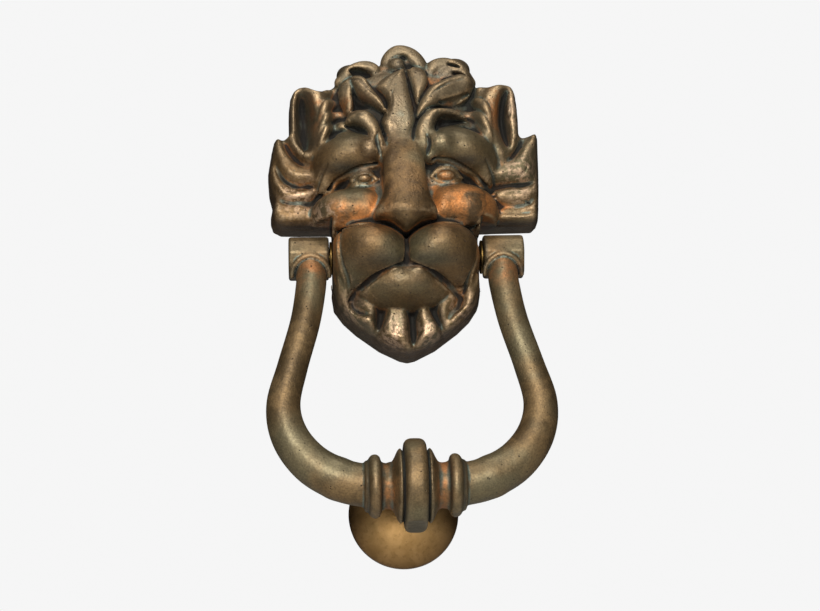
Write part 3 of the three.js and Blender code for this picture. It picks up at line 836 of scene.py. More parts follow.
ARM_LINE = [
    (36.9, -16.4, -32.4, 5.8), (37, -19.4, -39, 5.8), (39.5, -22.4, -54, 5.7), (44.6, -25, -72, 5.8),
    (48.2, -26.6, -87, 6.4), (45.8, -28, -99.5, 7.1), (38, -29.2, -110, 7.7), (27, -30, -116.4, 8),
    (16.5, -30.2, -118.9, 8),
]
HAMMER_HALF = [
    (0, 17.6), (2, 17.55), (3.3, 17), (4.05, 15.9), (4.2, 14.6), (4.3, 12.9), (4.9, 12.9), (5.1, 14.1),
    (5.8, 13.9), (6.6, 12.8), (7.5, 10.8), (8.6, 8.9), (9.6, 8.5), (11.4, 8.6), (12.2, 9), (12.6, 9.3),
    (12.9, 10.7), (13.7, 11.6), (14.8, 11.9), (16, 11.6), (16.9, 10.8), (17.4, 9.7), (17.9, 9.6),
    (18.6, 9.4), (19, 8.4),
]
SOCKET_ARCH = [
    (-7.2, -17, -34.4, 0.9), (-6.6, -18.4, -31.2, 1), (-3.9, -20, -28.3, 1), (0, -20.5, -27, 1),
    (3.9, -20, -28.3, 1), (6.6, -18.4, -31.2, 1), (7.2, -17, -34.4, 0.9),
]


def knuckle_outline():
    """Side view of a knuckle: round behind, a crease in front and a facet leaning in below it."""
    front = [(-2.5, 8.1), (-5, 7.2), (-7.1, 5.2), (-8.3, 2.8), (-8.8, 0.2), (-5.5, -7.4), (-4, -8.3)]
    back = [(8.4 * math.cos(a), 8.4 * math.sin(a)) for a in np.radians(np.arange(-90, 91, 12))]
    return [(y + PIVOT_Y, z + PIVOT_Z) for y, z in front + back]


def add_arm(clay, side):
    """A knuckle, the raised arch on its front and the arm that swells down to the hammer."""
    clay.join(slab(knuckle_outline(), *on_side(side, KNUCKLE_INNER, KNUCKLE_OUTER), axis=0))
    arch = [(37 * side + x, y, z, r) for x, y, z, r in SOCKET_ARCH]
    clay.join(strand(spline(arch, 40)), 0.3)
    line = spline([(x * side, y, z, r) for x, y, z, r in ARM_LINE], 64)
    clay.join(strand(line[:10]), 0.4)
    for first in range(9, 54, 9):
        clay.join(strand(line[first:first + 10]))
    clay.join(strand(line[54:]), 0.9)


def hammer():
    """The hammer: its profile turned about the line across the bail's foot."""
    half = np.array(HAMMER_HALF)
    outline = np.vstack([half, [(HAMMER_REACH, -1), (-HAMMER_REACH, -1)], half[:0:-1] * (-1, 1)])
    reach = np.array([HAMMER_REACH, HAMMER_RADIUS, HAMMER_RADIUS])
    middle = np.array([0, HAMMER_Y, HAMMER_Z])

    def distance(x, y, z):
        rho = np.sqrt((y - HAMMER_Y) ** 2 + (z - HAMMER_Z) ** 2)
        return outline_distance(outline, x + 0 * rho, rho + 0 * x).astype(np.float32)

    return Form(middle - reach, middle + reach, distance)


def hammer_facet():
    """The worn flat that meets the striker: everything beyond a plane across the disc's rim."""
    angle = math.radians(HAMMER_FLAT_ANGLE)
    middle = np.array([0, HAMMER_Y, HAMMER_Z])

    def distance(x, y, z):
        out = (y - HAMMER_Y) * -math.cos(angle) + (z - HAMMER_Z) * math.sin(angle)
        return (HAMMER_RADIUS - HAMMER_FLAT - out + 0 * x).astype(np.float32)

    return Form(middle - (7, 20, 22), middle + (7, 20, -10), distance)


def sculpt_bail():
    clay = Clay((-60, -52, -141), (60, 0, -15))
    for side in (-1, 1):
        add_arm(clay, side)
    clay.join(hammer(), 0.3)
    clay.carve(hammer_facet(), 0.4)
    for side in (-1, 1):
        for radius, start, end in (
            (PIVOT_SHANK + CLEARANCE, KNUCKLE_INNER - 1, KNUCKLE_OUTER),
            (PIVOT_HEAD + CLEARANCE, KNUCKLE_OUTER - PIVOT_HEAD_LENGTH - 0.6, KNUCKLE_OUTER + 2),
        ):
            clay.carve(bar(0, radius, *on_side(side, start, end), PIVOT_Y, PIVOT_Z))
    return clay


# ------------------------------------------------------------------ meshes


def surface_net(clay):
    """Vertices in mm and quads of the clay's surface: one vertex in each cell that it crosses."""
    inside = clay.field < 0
    shape = np.array(clay.field.shape) - 1
    strides = np.array([shape[1] * shape[2], shape[2], 1])
    cells, spots, quads = [], [], []
    for axis in range(3):
        near, far = [slice(None)] * 3, [slice(None)] * 3
        near[axis], far[axis] = slice(0, -1), slice(1, None)
        near, far = tuple(near), tuple(far)
        where = np.argwhere(inside[near] != inside[far])
        a, b = clay.field[near][tuple(where.T)], clay.field[far][tuple(where.T)]
        spot = where.astype(np.float32)
        spot[:, axis] += a / (a - b)
        u, v = (n for n in range(3) if n != axis)
        keep = (where[:, [u, v]] > 0).all(1) & (where[:, [u, v]] < shape[[u, v]]).all(1)
        where, spot, a = where[keep], spot[keep], a[keep]
        cell = where @ strides
        ring = np.stack([cell, cell - strides[u], cell - strides[u] - strides[v], cell - strides[v]], 1)
        cells.append(ring.ravel())
        spots.append(np.repeat(spot, 4, axis=0))
        flip = (a < 0) == (axis == 1)
        ring[flip] = ring[flip][:, ::-1]
        quads.append(ring)
    used, number = np.unique(np.concatenate(cells), return_inverse=True)
    spots, count = np.vstack(spots), np.bincount(number)
    vertices = np.stack([np.bincount(number, spots[:, n]) / count for n in range(3)], 1)
    return vertices * clay.step + clay.low, np.searchsorted(used, np.vstack(quads))


def relaxed(vertices, quads, turns, share):
    """Moves each vertex part of the way to the middle of its neighbours."""
    ends = np.concatenate([quads[:, [i, (i + 1) % 4]] for i in range(4)])
    count = np.bincount(ends.ravel(), minlength=len(vertices))[:, None]
    for _ in range(turns):
        total = np.zeros_like(vertices)
        for n in range(3):
            total[:, n] = np.bincount(ends[:, 0], vertices[ends[:, 1], n], len(vertices))
            total[:, n] += np.bincount(ends[:, 1], vertices[ends[:, 0], n], len(vertices))
        vertices = vertices + share * (total / count - vertices)
    return vertices


def sampled(clay, values, vertices):
    """Values of a grid at points, by linear steps between its cells."""
    place = (vertices - clay.low) / clay.step
    cell = np.clip(np.floor(place).astype(int), 0, np.array(values.shape) - 2)
    part = place - cell
    total = 0
    for corner in range(8):
        shift = np.array([corner & 1, corner >> 1 & 1, corner >> 2 & 1])
        weight = np.prod(np.where(shift, part, 1 - part), axis=1)
        total = total + weight * values[tuple((cell + shift).T)]
    return total


def new_mesh_object(name, vertices, faces):
    """A smooth-shaded mesh from points in mm, with faces as an array or a list."""
    mesh = bpy.data.meshes.new(name)
    if isinstance(faces, np.ndarray):
        corners = faces.shape[1]
        mesh.vertices.add(len(vertices))
        mesh.vertices.foreach_set("co", np.ascontiguousarray(vertices * MM, np.float32).ravel())
        mesh.loops.add(faces.size)
        mesh.loops.foreach_set("vertex_index", faces.astype(np.int32).ravel())
        mesh.polygons.add(len(faces))
        mesh.polygons.foreach_set("loop_start", np.arange(0, faces.size, corners, dtype=np.int32))
        mesh.update(calc_edges=True)
    else:
        mesh.from_pydata((np.asarray(vertices) * MM).tolist(), [], faces)
    mesh.validate()
    mesh.polygons.foreach_set("use_smooth", [True] * len(mesh.polygons))
    piece = bpy.data.objects.new(name, mesh)
    bpy.context.scene.collection.objects.link(piece)
    return piece


def store(piece, name, values):
    """Keeps one number per vertex, from 0 to 1, for the material to read."""
    attribute = piece.data.attributes.new(name, "FLOAT", "POINT")
    attribute.data.foreach_set("value", np.clip(values, 0, 1).astype(np.float32))


def clay_object(name, clay, spots):
    """The clay's surface as a piece that knows its crevices, ridges, hollows, sides and spots.

    Spots holds, for each kind of mark (copper, scraped metal, painted shade, and grime with painted shade in
    recesses), ellipses of (x, z, half width, half height) on the front.
    """
    vertices, quads = surface_net(clay)
    solid = (clay.field < 0).astype(np.float32)
    near = sampled(clay, blurred(solid, 1.0, clay.step), vertices)
    wide = sampled(clay, blurred(solid, 2.5, clay.step), vertices)
    vertices = relaxed(vertices, quads, 2, 0.5)
    piece = new_mesh_object(name, vertices, quads)
    store(piece, "crevice", (near - 0.54) / 0.16)
    store(piece, "ridge", (0.47 - near) / 0.12)
    store(piece, "hollow", (wide - 0.5) / 0.22)
    # How far back towards the door each vertex lies, for painted shade on the side walls
    store(piece, "wall", (vertices[:, 1] + PANEL_DEPTH + 0.5) / 3)
    for kind in ("warm", "bare", "grime_and_shade", "shade"):
        amount = np.zeros(len(vertices))
        for x, z, across, up in spots.get(kind, ()):
            reach = ((vertices[:, 0] - x) / across) ** 2 + ((vertices[:, 2] - z) / up) ** 2
            amount = np.maximum(amount, np.exp(-reach))
        store(piece, kind, amount * (vertices[:, 1] < -4))
    return piece


def lathe(name, profile, centre, axis=1, sides=128, closed=False):
    """A profile of (distance along the axis, radius) turned about an axis through centre."""
    p = np.asarray(profile, float)
    angle = np.linspace(0, 2 * math.pi, sides, endpoint=False)
    vertices = np.empty((len(p) * sides, 3))
    vertices[:, axis] = np.repeat(p[:, 0], sides)
    vertices[:, (axis + 1) % 3] = np.outer(p[:, 1], np.cos(angle)).ravel()
    vertices[:, (axis + 2) % 3] = np.outer(p[:, 1], np.sin(angle)).ravel()
    vertices += np.array(centre)
    return tidy_solid(new_mesh_object(name, vertices, grid_faces(len(p), sides, closed)))


def tidy_solid(piece, crease=32):
    """Joins doubled points, turns the faces outward and keeps edges over crease degrees sharp."""
    shape = bmesh.new()
    shape.from_mesh(piece.data)
    bmesh.ops.remove_doubles(shape, verts=shape.verts, dist=1e-7)
    bmesh.ops.recalc_face_normals(shape, faces=shape.faces)
    shape.to_mesh(piece.data)
    shape.free()
    piece.data.set_sharp_from_angle(angle=math.radians(crease))
    return piece


def grid_faces(rows, columns, closed_rows):
    """Quads over a grid of points whose columns run round; its rows may close on themselves too."""
    spans = rows if closed_rows else rows - 1
    i, j = np.meshgrid(np.arange(spans), np.arange(columns), indexing="ij")
    after, beside = (i + 1) % rows, (j + 1) % columns
    faces = [i * columns + j, after * columns + j, after * columns + beside, i * columns + beside]
    return np.stack([f.ravel() for f in faces], 1)


# ------------------------------------------------------------------ materials


def colour(red, green, blue):
    """A display colour, 0 to 255, as the linear colour that a shader takes."""
    shares = (red / 255, green / 255, blue / 255)
    return (*(c / 12.92 if c <= 0.04045 else ((c + 0.055) / 1.055) ** 2.4 for c in shares), 1)


DUST = colour(112, 100, 78)
SCRAPED = colour(206, 172, 140)
BLOOM = colour(96, 105, 93)
SHADED = colour(84, 64, 36)
# Dark grey for grime with painted shade in recesses
GRIME_AND_SHADE = colour(48, 48, 42)
# Dark brown for painted shade on the side walls
WALL_SHADE = colour(58, 44, 28)
# Near black for dirt with painted shade in crevices and hollows
DIRT_AND_SHADE = colour(30, 29, 27)
PIT_BROWN = colour(34, 28, 24)
SPECKLE = colour(40, 32, 25)


class Paint:
    """One procedural material, built up node by node; skin is its colour so far."""

    def __init__(self, name, skin=None):
        self.skin = skin
        self.material = bpy.data.materials.new(name)
        self.material.use_nodes = True
        self.tree = self.material.node_tree
        self.shader = self.tree.nodes["Principled BSDF"]
        self.place = self.tree.nodes.new("ShaderNodeTexCoord").outputs["Object"]

    def node(self, kind, inputs, **settings):
        node = self.tree.nodes.new(kind)
        for key, value in settings.items():
            setattr(node, key, value)
        for key, value in inputs.items():
            self.feed(node.inputs[key], value)
        return node

    def feed(self, socket, value):
        if isinstance(value, bpy.types.NodeSocket):
            self.tree.links.new(value, socket)
        else:
            socket.default_value = value

    def noise(self, size, detail=4.0, roughness=0.55, distortion=0.0):
        """Smooth noise whose lumps are about size mm across."""
        inputs = {"Vector": self.place, "Scale": 0.5 / (size * MM), "Detail": detail, "Roughness": roughness,
                  "Distortion": distortion}
        return self.node("ShaderNodeTexNoise", inputs).outputs["Fac"]

    def cells(self, size):
        inputs = {"Vector": self.place, "Scale": 1 / (size * MM)}
        return self.node("ShaderNodeTexVoronoi", inputs).outputs["Distance"]

    def attribute(self, name):
        return self.node("ShaderNodeAttribute", {}, attribute_name=name).outputs["Fac"]

    def height(self, start, end):
        """Share of the way up from start to end, in mm."""
        up = self.node("ShaderNodeSeparateXYZ", {0: self.place}).outputs["Z"]
        return self.fade(up, start * MM, end * MM)

    def fade(self, value, start, end, low=0.0, high=1.0):
        """Value taken from start..end to low..high, smoothly and no further."""
        inputs = {"Value": value, "From Min": start, "From Max": end, "To Min": low, "To Max": high}
        return self.node("ShaderNodeMapRange", inputs, interpolation_type="SMOOTHSTEP").outputs["Result"]

    def maths(self, operation, a, b):
        return self.node("ShaderNodeMath", {0: a, 1: b}, operation=operation, use_clamp=True).outputs[0]

    def times(self, a, b):
        return self.maths("MULTIPLY", a, b)

    def coat(self, share, tone):
        """Lays a colour over the skin, by the given share."""
        node = self.node("ShaderNodeMix", {"Factor": share}, data_type="RGBA")
        self.feed(node.inputs[6], self.skin)
        self.feed(node.inputs[7], tone)
        self.skin = node.outputs[2]

    def bump(self, height, depth, normal=None):
        """Roughens the surface by a height from 0 to 1, depth mm deep."""
        inputs = {"Height": height, "Distance": depth * MM, "Strength": 1.0}
        if normal:
            inputs["Normal"] = normal
        return self.node("ShaderNodeBump", inputs).outputs["Normal"]

    def finish(self, **inputs):
        for key, value in {"Base_Color": self.skin, **inputs}.items():
            self.feed(self.shader.inputs[key.replace("_", " ")], value)
        return self.material


def patina(name, dark, light, sheen, copper, rubbed, wear=1.0, grit=1.0):
    """Cast bronze with a worn skin: copper in hollows, verdigris in crevices, dirt with painted shade in
    crevices and hollows, and painted shade on listed spots and on the side walls.
    """
    paint = Paint(name, dark)
    times, fade, coat = paint.times, paint.fade, paint.coat
    broad, medium = paint.noise(16, 3, 0.5), paint.noise(5, 5, 0.6, 0.4)
    fine, grain = paint.noise(1.1, 4, 0.6), paint.noise(0.35, 2, 0.5)
    crevice, hollow = paint.attribute("crevice"), paint.attribute("hollow")
    coat(fade(medium, 0.35, 0.65), light)
    coat(fade(broad, 0.42, 0.62, 0, 0.75), sheen)
    dust = times(paint.height(10, 26), fade(medium, 0.3, 0.6, 0.35, 0.75))
    coat(dust, DUST)
    red = paint.maths("ADD", fade(hollow, 0.1, 0.6, 0, 0.7), paint.attribute("warm"))
    coat(times(times(red, fade(medium, 0.38, 0.6)), 0.8), copper)
    coat(times(fade(paint.attribute("ridge"), 0.1, 0.9, 0, wear), fade(fine, 0.3, 0.6)), rubbed)
    coat(times(times(paint.attribute("bare"), fade(fine, 0.44, 0.56)), 0.7), SCRAPED)
    film = paint.maths("ADD", fade(crevice, 0.0, 0.3), times(dust, fade(hollow, 0.0, 0.3)))
    patches = fade(paint.noise(6, 4, 0.65), 0.34, 0.56)
    coat(times(times(film, patches), 0.9), BLOOM)
    coat(times(paint.attribute("shade"), 0.75), SHADED)
    # Grime with painted shade: darkens listed recesses such as the ear bowls, the slots under the brows and
    # the mouth line
    coat(times(times(paint.attribute("grime_and_shade"), fade(medium, 0.3, 0.55)), 0.8), GRIME_AND_SHADE)
    # Painted shade: darkens the side walls, more towards the back
    coat(times(paint.attribute("wall"), fade(medium, 0.25, 0.6, 0.55, 0.85)), WALL_SHADE)
    # Dirt with painted shade: near black in crevices and broad hollows, where shade falls; it also roughens
    # them
    dirt_and_shade = paint.maths("ADD", fade(crevice, 0.42, 0.92), fade(hollow, 0.42, 0.9, 0, 0.9))
    coat(times(dirt_and_shade, 0.93), DIRT_AND_SHADE)
    pits = times(fade(paint.cells(1.9), 0.2, 0.1), fade(fine, 0.5, 0.58))
    coat(times(pits, 0.8), PIT_BROWN)
    coat(fade(grain, 0.3, 0.7, 0.0, 0.35), SPECKLE)
    roughness = paint.maths("ADD", fade(medium, 0.3, 0.7, 0.44, 0.58), times(dirt_and_shade, 0.35))
    normal = None
    smooth = paint.maths("SUBTRACT", 1.0, pits)
    for height, depth in ((paint.noise(3, 3, 0.5), 0.35), (fine, 0.22), (grain, 0.1), (smooth, 0.3)):
        normal = paint.bump(height, depth * grit, normal)
    return paint.finish(Metallic=0.72, Roughness=roughness, Normal=normal)


def plain_metal(name, base, tarnish, roughness, patch_size):
    """Turned or stamped metal with a patchy tarnish and a faint grain."""
    paint = Paint(name, base)
    patches = paint.fade(paint.noise(patch_size, 4, 0.6), 0.4, 0.66)
    paint.coat(patches, tarnish)
    rough = paint.fade(patches, 0, 1, roughness, roughness + 0.2)
    return paint.finish(Metallic=1.0, Roughness=rough, Normal=paint.bump(paint.noise(0.3, 3, 0.6), 0.03))


def striker_metal():
    """Golden-brown bronze with painted shade darkening it towards its rim round a painted highlight a little
    below its middle, and mottled at random.
    """
    paint = Paint("striker_patina", colour(160, 124, 74))
    broad, medium = paint.noise(11, 3, 0.5), paint.noise(3.2, 5, 0.6, 0.3)
    fine, grain = paint.noise(0.9, 4, 0.6), paint.noise(0.35, 2, 0.5)
    paint.coat(paint.fade(medium, 0.3, 0.7), colour(190, 150, 96))
    paint.coat(paint.fade(broad, 0.45, 0.65, 0, 0.5), colour(128, 108, 70))
    paint.coat(paint.fade(fine, 0.54, 0.66, 0, 0.3), colour(104, 76, 42))
    # Painted shade: darker towards the rim, leaving a painted highlight a little below the middle
    paint.coat(paint.attribute("rim"), colour(70, 48, 24))
    rough = paint.fade(medium, 0.3, 0.7, 0.32, 0.4)
    normal = paint.bump(grain, 0.05, paint.bump(fine, 0.06))
    return paint.finish(Metallic=0.9, Roughness=rough, Normal=normal)


# ------------------------------------------------------------------ pieces


def ride_on(piece, body, material, slot, *nodes):
    piece.data.materials.append(material)
    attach(piece, body)
    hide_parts(*nodes)
    return piece


MASK_TONES = [(82, 62, 38), (128, 100, 64), (108, 102, 76), (196, 120, 56), (168, 142, 106)]
BAIL_TONES = [(90, 72, 46), (122, 98, 64), (110, 102, 76), (162, 106, 60), (150, 128, 94)]
mask_metal = patina("mask_patina", *(colour(*tone) for tone in MASK_TONES))
arm_metal = patina("bail_patina", *(colour(*tone) for tone in BAIL_TONES), wear=0.4, grit=0.55)

MASK_SPOTS = {
    "warm": [(-15.8, 2.4, 2.4, 1.8), (15.4, 3.4, 2.8, 2.2), (-27.4, -28, 1.6, 8), (27.4, -28, 1.6, 8),
             (-24, -13, 9, 4.5), (-12, -12, 4, 8), (23, -9, 13, 8), (-34, 32, 2.4, 8), (36.6, 31, 3, 9),
             (-20, 33, 5, 3), (11, -9, 4, 8), (-28, -24, 4, 6)],
    "shade": [(-23, -29, 8, 9), (22, -31, 8, 9), (-27, 9, 10, 9), (27, 10, 10, 9), (-50, 8, 4, 18),
              (52, 0, 3, 18), (-1, -47, 18, 4), (-20, -8, 3, 3), (0, -13, 9, 4)],
    # grime with painted shade: ear bowls, curl hollows, beard grooves, the mouth line and the slots under the
    # brows
    "grime_and_shade": [(-38.6, 30, 4, 10), (-38, 18, 5, 4), (40, 31, 3, 10), (26, -20, 6, 4), (20, 47.6, 5, 3),
              (-16.4, 47.4, 5, 3), (-0.9, 51, 4, 3), (-20.6, -45, 3, 5), (-12, -53, 3, 5), (1.5, -55, 2.4, 7),
              (-1, -34, 20, 2.4), (-21, 5.4, 12, 1.8), (20, 8, 12, 1.8), (19, 25.5, 7, 3), (-17, 33, 4, 3),
              (11.6, -53, 2, 5)],
    "bare": [(-33, -13, 6, 5), (46, 4, 9, 10), (-5, -58, 7, 6), (7, -57, 7, 6), (20, -50, 7, 7),
             (-22, -49, 6, 6), (44, 32, 3, 10), (-42, -3, 8, 6)],
}
BAIL_HALF_SPOTS = {
    "warm": [(37, -34, 8, 6), (10.4, -119, 3, 10)],
    # grime with painted shade: dark lines in the hammer's grooves, by the knuckles and on the hammer's
    # underside
    "grime_and_shade": [(4.7, -119, 0.8, 30), (12.6, -119, 0.7, 30), (17.8, -119, 0.8, 30), (29.8, -26, 1.2, 10),
              (44, -33, 2, 2), (0, -137, 5, 3.4)],
}
BAIL_SPOTS = {
    kind: [(x * side, *rest) for side in (-1, 1) for x, *rest in half]
    for kind, half in BAIL_HALF_SPOTS.items()
}

lion = clay_object("LionMask", sculpt_lion(), MASK_SPOTS)
ride_on(lion, "mask", mask_metal, "mask_bronze", "lion_mask")
bail = clay_object("KnockerBail", sculpt_bail(), BAIL_SPOTS)
ride_on(bail, "bail", arm_metal, "bail_bronze", "knocker_bail")

# ------------------------------------------------------------------ striker, pivots and fixings


def centre_of(node):
    low, high = node_box(node)
    return (low + high) / 2, low, high


def ring_wave(turns):
    """A triangle wave from 0 at whole turns to 1 halfway between them."""
    return 1 - np.abs(2 * (turns % 1) - 1)


def make_striker():
    """A shallow dome with a short cylindrical edge, bored from behind for its stud."""
    middle, low, high = centre_of("striker_button")
    radius, height, edge = (high[0] - low[0]) / 2, -low[1], 2.2
    bore, depth, ease = STUD_RADIUS + CLEARANCE, 8, 0.5
    rise = height - edge
    dome_radius = (radius**2 + rise**2) / (2 * rise)
    profile = [(-depth, 0), (-depth, bore), (-0.4, bore), (0, bore + 0.4), (0, radius - ease),
               (-ease, radius), (0.4 - edge, radius), (-edge, radius - 0.15)]
    for angle in math.asin((radius - ease) / dome_radius) * np.linspace(1, 0, 40):
        profile.append((dome_radius * (1 - math.cos(angle)) - height, dome_radius * math.sin(angle)))
    button = lathe("StrikerButton", profile, (middle[0], 0, middle[2]), sides=160)
    spots = np.array([v.co for v in button.data.vertices]) / MM
    # Share of the way out to the rim from a point 2 mm below the middle, for painted shade and highlight
    out = np.hypot(spots[:, 0] - middle[0], spots[:, 2] - middle[2] + 2) / radius
    store(button, "rim", np.clip((out - 0.35) / 0.6, 0, 1) ** 1.5 * 0.85)
    return button


def make_stud(name, node):
    """A threaded rod with chamfered ends."""
    middle, low, high = centre_of(node)
    columns, length = 36, high[1] - low[1]
    along = np.arange(0, length + 1e-6, STUD_PITCH / 9)
    turn = np.arange(columns) / columns
    cut = 0.55 * STUD_PITCH * ring_wave(along[:, None] / STUD_PITCH - turn[None, :])
    chamfer = np.minimum(along, length - along)[:, None] + STUD_RADIUS - 0.9
    radius = np.minimum(STUD_RADIUS - cut, chamfer)
    radius = np.vstack([np.zeros(columns), radius, np.zeros(columns)])
    along = np.concatenate([along[:1], along, along[-1:]])
    angle = 2 * math.pi * turn
    x, z = middle[0] + radius * np.cos(angle), middle[2] + radius * np.sin(angle)
    y = low[1] + np.repeat(along[:, None], columns, axis=1)
    vertices = np.stack([x.ravel(), y.ravel(), z.ravel()], 1)
    return tidy_solid(new_mesh_object(name, vertices, grid_faces(len(along), columns, False)), 50)


def make_nut(name, node):
    """A hexagonal nut with chamfered corners and a countersunk thread."""
    middle, low, high = centre_of(node)
    height, half, bore = high[1] - low[1], NUT_ACROSS_FLATS / 2, STUD_RADIUS + 0.1
    angle = np.linspace(0, 2 * math.pi, 72, endpoint=False)
    away = (angle + math.pi / 6) % (math.pi / 3) - math.pi / 6
    corner, face = half / np.cos(away), half * 0.97
    drop = (corner - face) * math.tan(math.radians(30))
    rows = [(0, bore + 0.4), (0, face), (drop, corner), (height - drop, corner), (height, face),
            (height, bore + 0.4), (height - 0.5, bore), (0.5, bore)]
    points = []
    for y, across in rows:
        points.append(np.stack([across * np.cos(angle), y + 0 * angle, across * np.sin(angle)], 1))
    vertices = np.vstack(points) + (middle[0], low[1], middle[2])
    return tidy_solid(new_mesh_object(name, vertices, grid_faces(len(rows), len(angle), True)), 25)


def eased_section(start, end, bore, outer, ease):
    """Points of (distance along the axis, radius) round a flat ring's section, corners eased."""
    return [(start, bore + ease), (start, outer - ease), (start + ease, outer), (end - ease, outer),
            (end, outer - ease), (end, bore + ease), (end - ease, bore), (start + ease, bore)]


def make_washer(name, node, axis, bore):
    """A flat washer with its edges eased."""
    middle, low, high = centre_of(node)
    section = eased_section(low[axis], high[axis], bore, (high[2] - low[2]) / 2, 0.18)
    centre = middle.copy()
    centre[axis] = 0
    return lathe(name, section, centre, axis, 96, closed=True)


def make_spring_washer(name, node):
    """A split ring of square wire, one end a little proud of the other."""
    middle, low, high = centre_of(node)
    offset, gap, outer = 0.12, 0.16, (high[2] - low[2]) / 2
    angle = math.pi / 2 + np.linspace(gap, 2 * math.pi - gap, 90)
    shift = np.linspace(-offset, offset, len(angle))
    section = eased_section(low[1] + offset, high[1] - offset, STUD_RADIUS + CLEARANCE, outer, 0.15)
    vertices = [
        (middle[0] + r * math.cos(a), y + d, middle[2] + r * math.sin(a))
        for a, d in zip(angle, shift)
        for y, r in section
    ]
    count = len(section)
    faces = grid_faces(len(angle), count, False).tolist()
    faces += [tuple(range(count)), tuple(range(len(vertices) - count, len(vertices)))]
    return tidy_solid(new_mesh_object(name, vertices, faces))


def sculpt_pivot_screw(node):
    """A shouldered screw: slotted cheese head, plain shank and a smaller threaded end."""
    _, low, high = centre_of(node)
    head_inner, shoulder, margin = high[0] - PIVOT_HEAD_LENGTH, JAW_HALF_WIDTH + CLEARANCE, 0.8
    clay = Clay(low - margin, high + margin, 0.16)
    clay.join(bar(0, PIVOT_HEAD, head_inner, high[0], PIVOT_Y, PIVOT_Z, 0.35))
    clay.join(bar(0, PIVOT_SHANK, shoulder, head_inner + 1, PIVOT_Y, PIVOT_Z, 0.2))

    def thread(x, y, z):
        turn = np.arctan2(z - PIVOT_Z, y - PIVOT_Y) / (2 * math.pi)
        radius = np.sqrt((y - PIVOT_Y) ** 2 + (z - PIVOT_Z) ** 2)
        side = radius - PIVOT_THREAD + 0.45 * ring_wave(x / PIVOT_PITCH - turn)
        return np.maximum(side, np.maximum(low[0] - x, x - shoulder - 0.5)).astype(np.float32)

    reach = np.array([0, PIVOT_THREAD, PIVOT_THREAD])
    middle = np.array([0, PIVOT_Y, PIVOT_Z])
    clay.join(Form(middle - reach + (low[0], 0, 0), middle + reach + (shoulder + 1, 0, 0), thread))
    slot = [(PIVOT_Y + 6 * y, PIVOT_Z + SLOT_HALF_WIDTH * z) for y, z in ((-1, -1), (1, -1), (1, 1), (-1, 1))]
    clay.carve(slab(slot, high[0] - 1.5, high[0] + 2, axis=0, edge=0.05))
    return surface_net(clay)


def make_pivot_screws(material):
    """The right-hand screw, and its mirror image on the left."""
    vertices, quads = sculpt_pivot_screw("pivot_screw_right")
    vertices = relaxed(vertices, quads, 1, 0.4)
    for side, name in ((1, "Right"), (-1, "Left")):
        faces = quads if side > 0 else quads[:, ::-1]
        screw = new_mesh_object(f"PivotScrew{name}", vertices * (side, 1, 1), faces)
        ride_on(screw, "mask", material, "fixing_brass", f"pivot_screw_{name.lower()}")


brass = plain_metal("aged_brass", colour(104, 82, 44), colour(58, 46, 28), 0.42, 2.5)
steel = plain_metal("zinc_steel", colour(168, 168, 164), colour(120, 116, 108), 0.34, 4)

ride_on(make_striker(), "mask", striker_metal(), "striker_bronze", "striker_button")
make_pivot_screws(brass)
for side in ("Right", "Left"):
    node = f"pivot_washer_{side.lower()}"
    washer = make_washer(f"PivotWasher{side}", node, 0, PIVOT_SHANK + CLEARANCE)
    ride_on(washer, "mask", brass, "fixing_brass", node)
for name, stud, washer, spring, nut in (
    ("Upper", "mask_stud_upper", "mask_washer_upper", "spring_washer_upper", "mask_nut_upper"),
    ("Lower", "mask_stud_lower", "mask_washer_lower", "spring_washer_lower", "mask_nut_lower"),
    ("Striker", "striker_stud", "striker_washer", "spring_washer_striker", "striker_nut"),
):
    for piece, node in (
        (make_stud(f"{name}Stud", stud), stud),
        (make_washer(f"{name}Washer", washer, 1, STUD_RADIUS + CLEARANCE), washer),
        (make_spring_washer(f"{name}SpringWasher", spring), spring),
        (make_nut(f"{name}Nut", nut), nut),
    ):
        ride_on(piece, "mask", steel, "fixing_steel", node)

# ------------------------------------------------------------------ stage, camera and lights


FRONT = (-0.1, -0.95, 0.3)
ROOM_DARK, ROOM_BRIGHT = 0.035, 0.5
BACKDROP = 0.92
FLOOR_Z = -0.34
CAMERA_AZIMUTH, CAMERA_ELEVATION, CAMERA_ROLL = map(math.radians, (-3.5, -15, -1.6))
CAMERA_DISTANCE = 0.96
CAMERA_TARGET = Vector((0.0018, 0, -0.0418))
CAMERA_LENS = 108.2


def soft_light(name, place, target, size, power):
    """A square lamp at place, turned to the target; metres and watts."""
    data = bpy.data.lights.new(name, "AREA")
    data.shape, data.size, data.energy = "SQUARE", size, power
    lamp = bpy.data.objects.new(name, data)
    lamp.location = place
    lamp.rotation_euler = (Vector(target) - Vector(place)).to_track_quat("-Z", "Y").to_euler()
    bpy.context.scene.collection.objects.link(lamp)


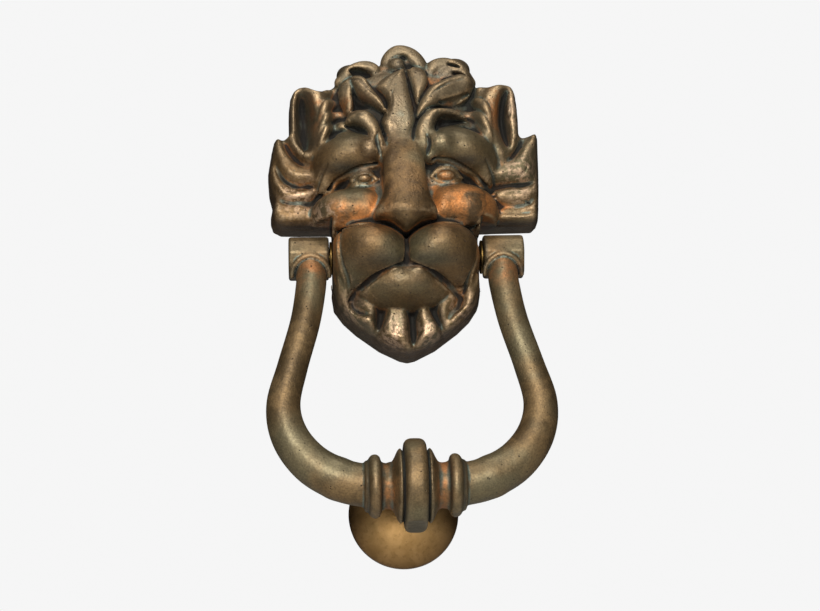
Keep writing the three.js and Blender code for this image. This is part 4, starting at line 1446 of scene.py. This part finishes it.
def make_world():
    """Pale surroundings; the metal itself sees a dim room that is bright only in front of it."""
    world = bpy.data.worlds.new("surroundings")
    world.use_nodes = True
    nodes, links = world.node_tree.nodes, world.node_tree.links
    direction = nodes.new("ShaderNodeTexCoord").outputs["Generated"]
    toward = nodes.new("ShaderNodeVectorMath")
    toward.operation = "DOT_PRODUCT"
    toward.inputs[1].default_value = FRONT
    room = nodes.new("ShaderNodeMapRange")
    room.interpolation_type = "SMOOTHSTEP"
    limits = {"From Min": 0.1, "From Max": 1.0, "To Min": ROOM_DARK, "To Max": ROOM_BRIGHT}
    for socket, value in limits.items():
        room.inputs[socket].default_value = value
    seen = nodes.new("ShaderNodeLightPath").outputs["Is Camera Ray"]
    choice = nodes.new("ShaderNodeMix")
    choice.inputs["B"].default_value = BACKDROP
    links.new(direction, toward.inputs[0])
    links.new(toward.outputs["Value"], room.inputs["Value"])
    links.new(seen, choice.inputs["Factor"])
    links.new(room.outputs[0], choice.inputs["A"])
    links.new(choice.outputs["Result"], nodes["Background"].inputs["Color"])
    bpy.context.scene.world = world


def make_floor():
    bpy.ops.mesh.primitive_circle_add(vertices=96, radius=1.2, fill_type="NGON", location=(0, 0, FLOOR_Z))
    floor = bpy.context.object
    floor.name = "Floor"
    floor.data.materials.append(Paint("floor_grey", (0.82, 0.82, 0.81, 1)).finish(Roughness=0.9))


def make_camera():
    """Looks at the target from below and a little to the left, rolled slightly."""
    turn, rise = CAMERA_AZIMUTH, CAMERA_ELEVATION
    back = Vector((math.sin(turn) * math.cos(rise), -math.cos(turn) * math.cos(rise), math.sin(rise)))
    level = (-back).cross(Vector((0, 0, 1))).normalized()
    upright = level.cross(-back)
    right = math.cos(CAMERA_ROLL) * level + math.sin(CAMERA_ROLL) * upright
    up = math.cos(CAMERA_ROLL) * upright - math.sin(CAMERA_ROLL) * level
    camera = bpy.data.objects.new("Camera", bpy.data.cameras.new("Camera"))
    camera.data.lens, camera.data.sensor_width = CAMERA_LENS, 36
    camera.matrix_world = Matrix((right, up, back)).transposed().to_4x4()
    camera.location = CAMERA_TARGET + back * CAMERA_DISTANCE
    bpy.context.scene.collection.objects.link(camera)
    bpy.context.scene.camera = camera


bpy.context.scene.view_settings.view_transform = "Standard"
make_world()
make_floor()
make_camera()
soft_light("Key", (-0.14, -1.0, 0.12), (0, 0, -0.04), 0.3, 12)
soft_light("Top", (0, -0.4, 0.85), (0, 0, 0), 0.4, 4)
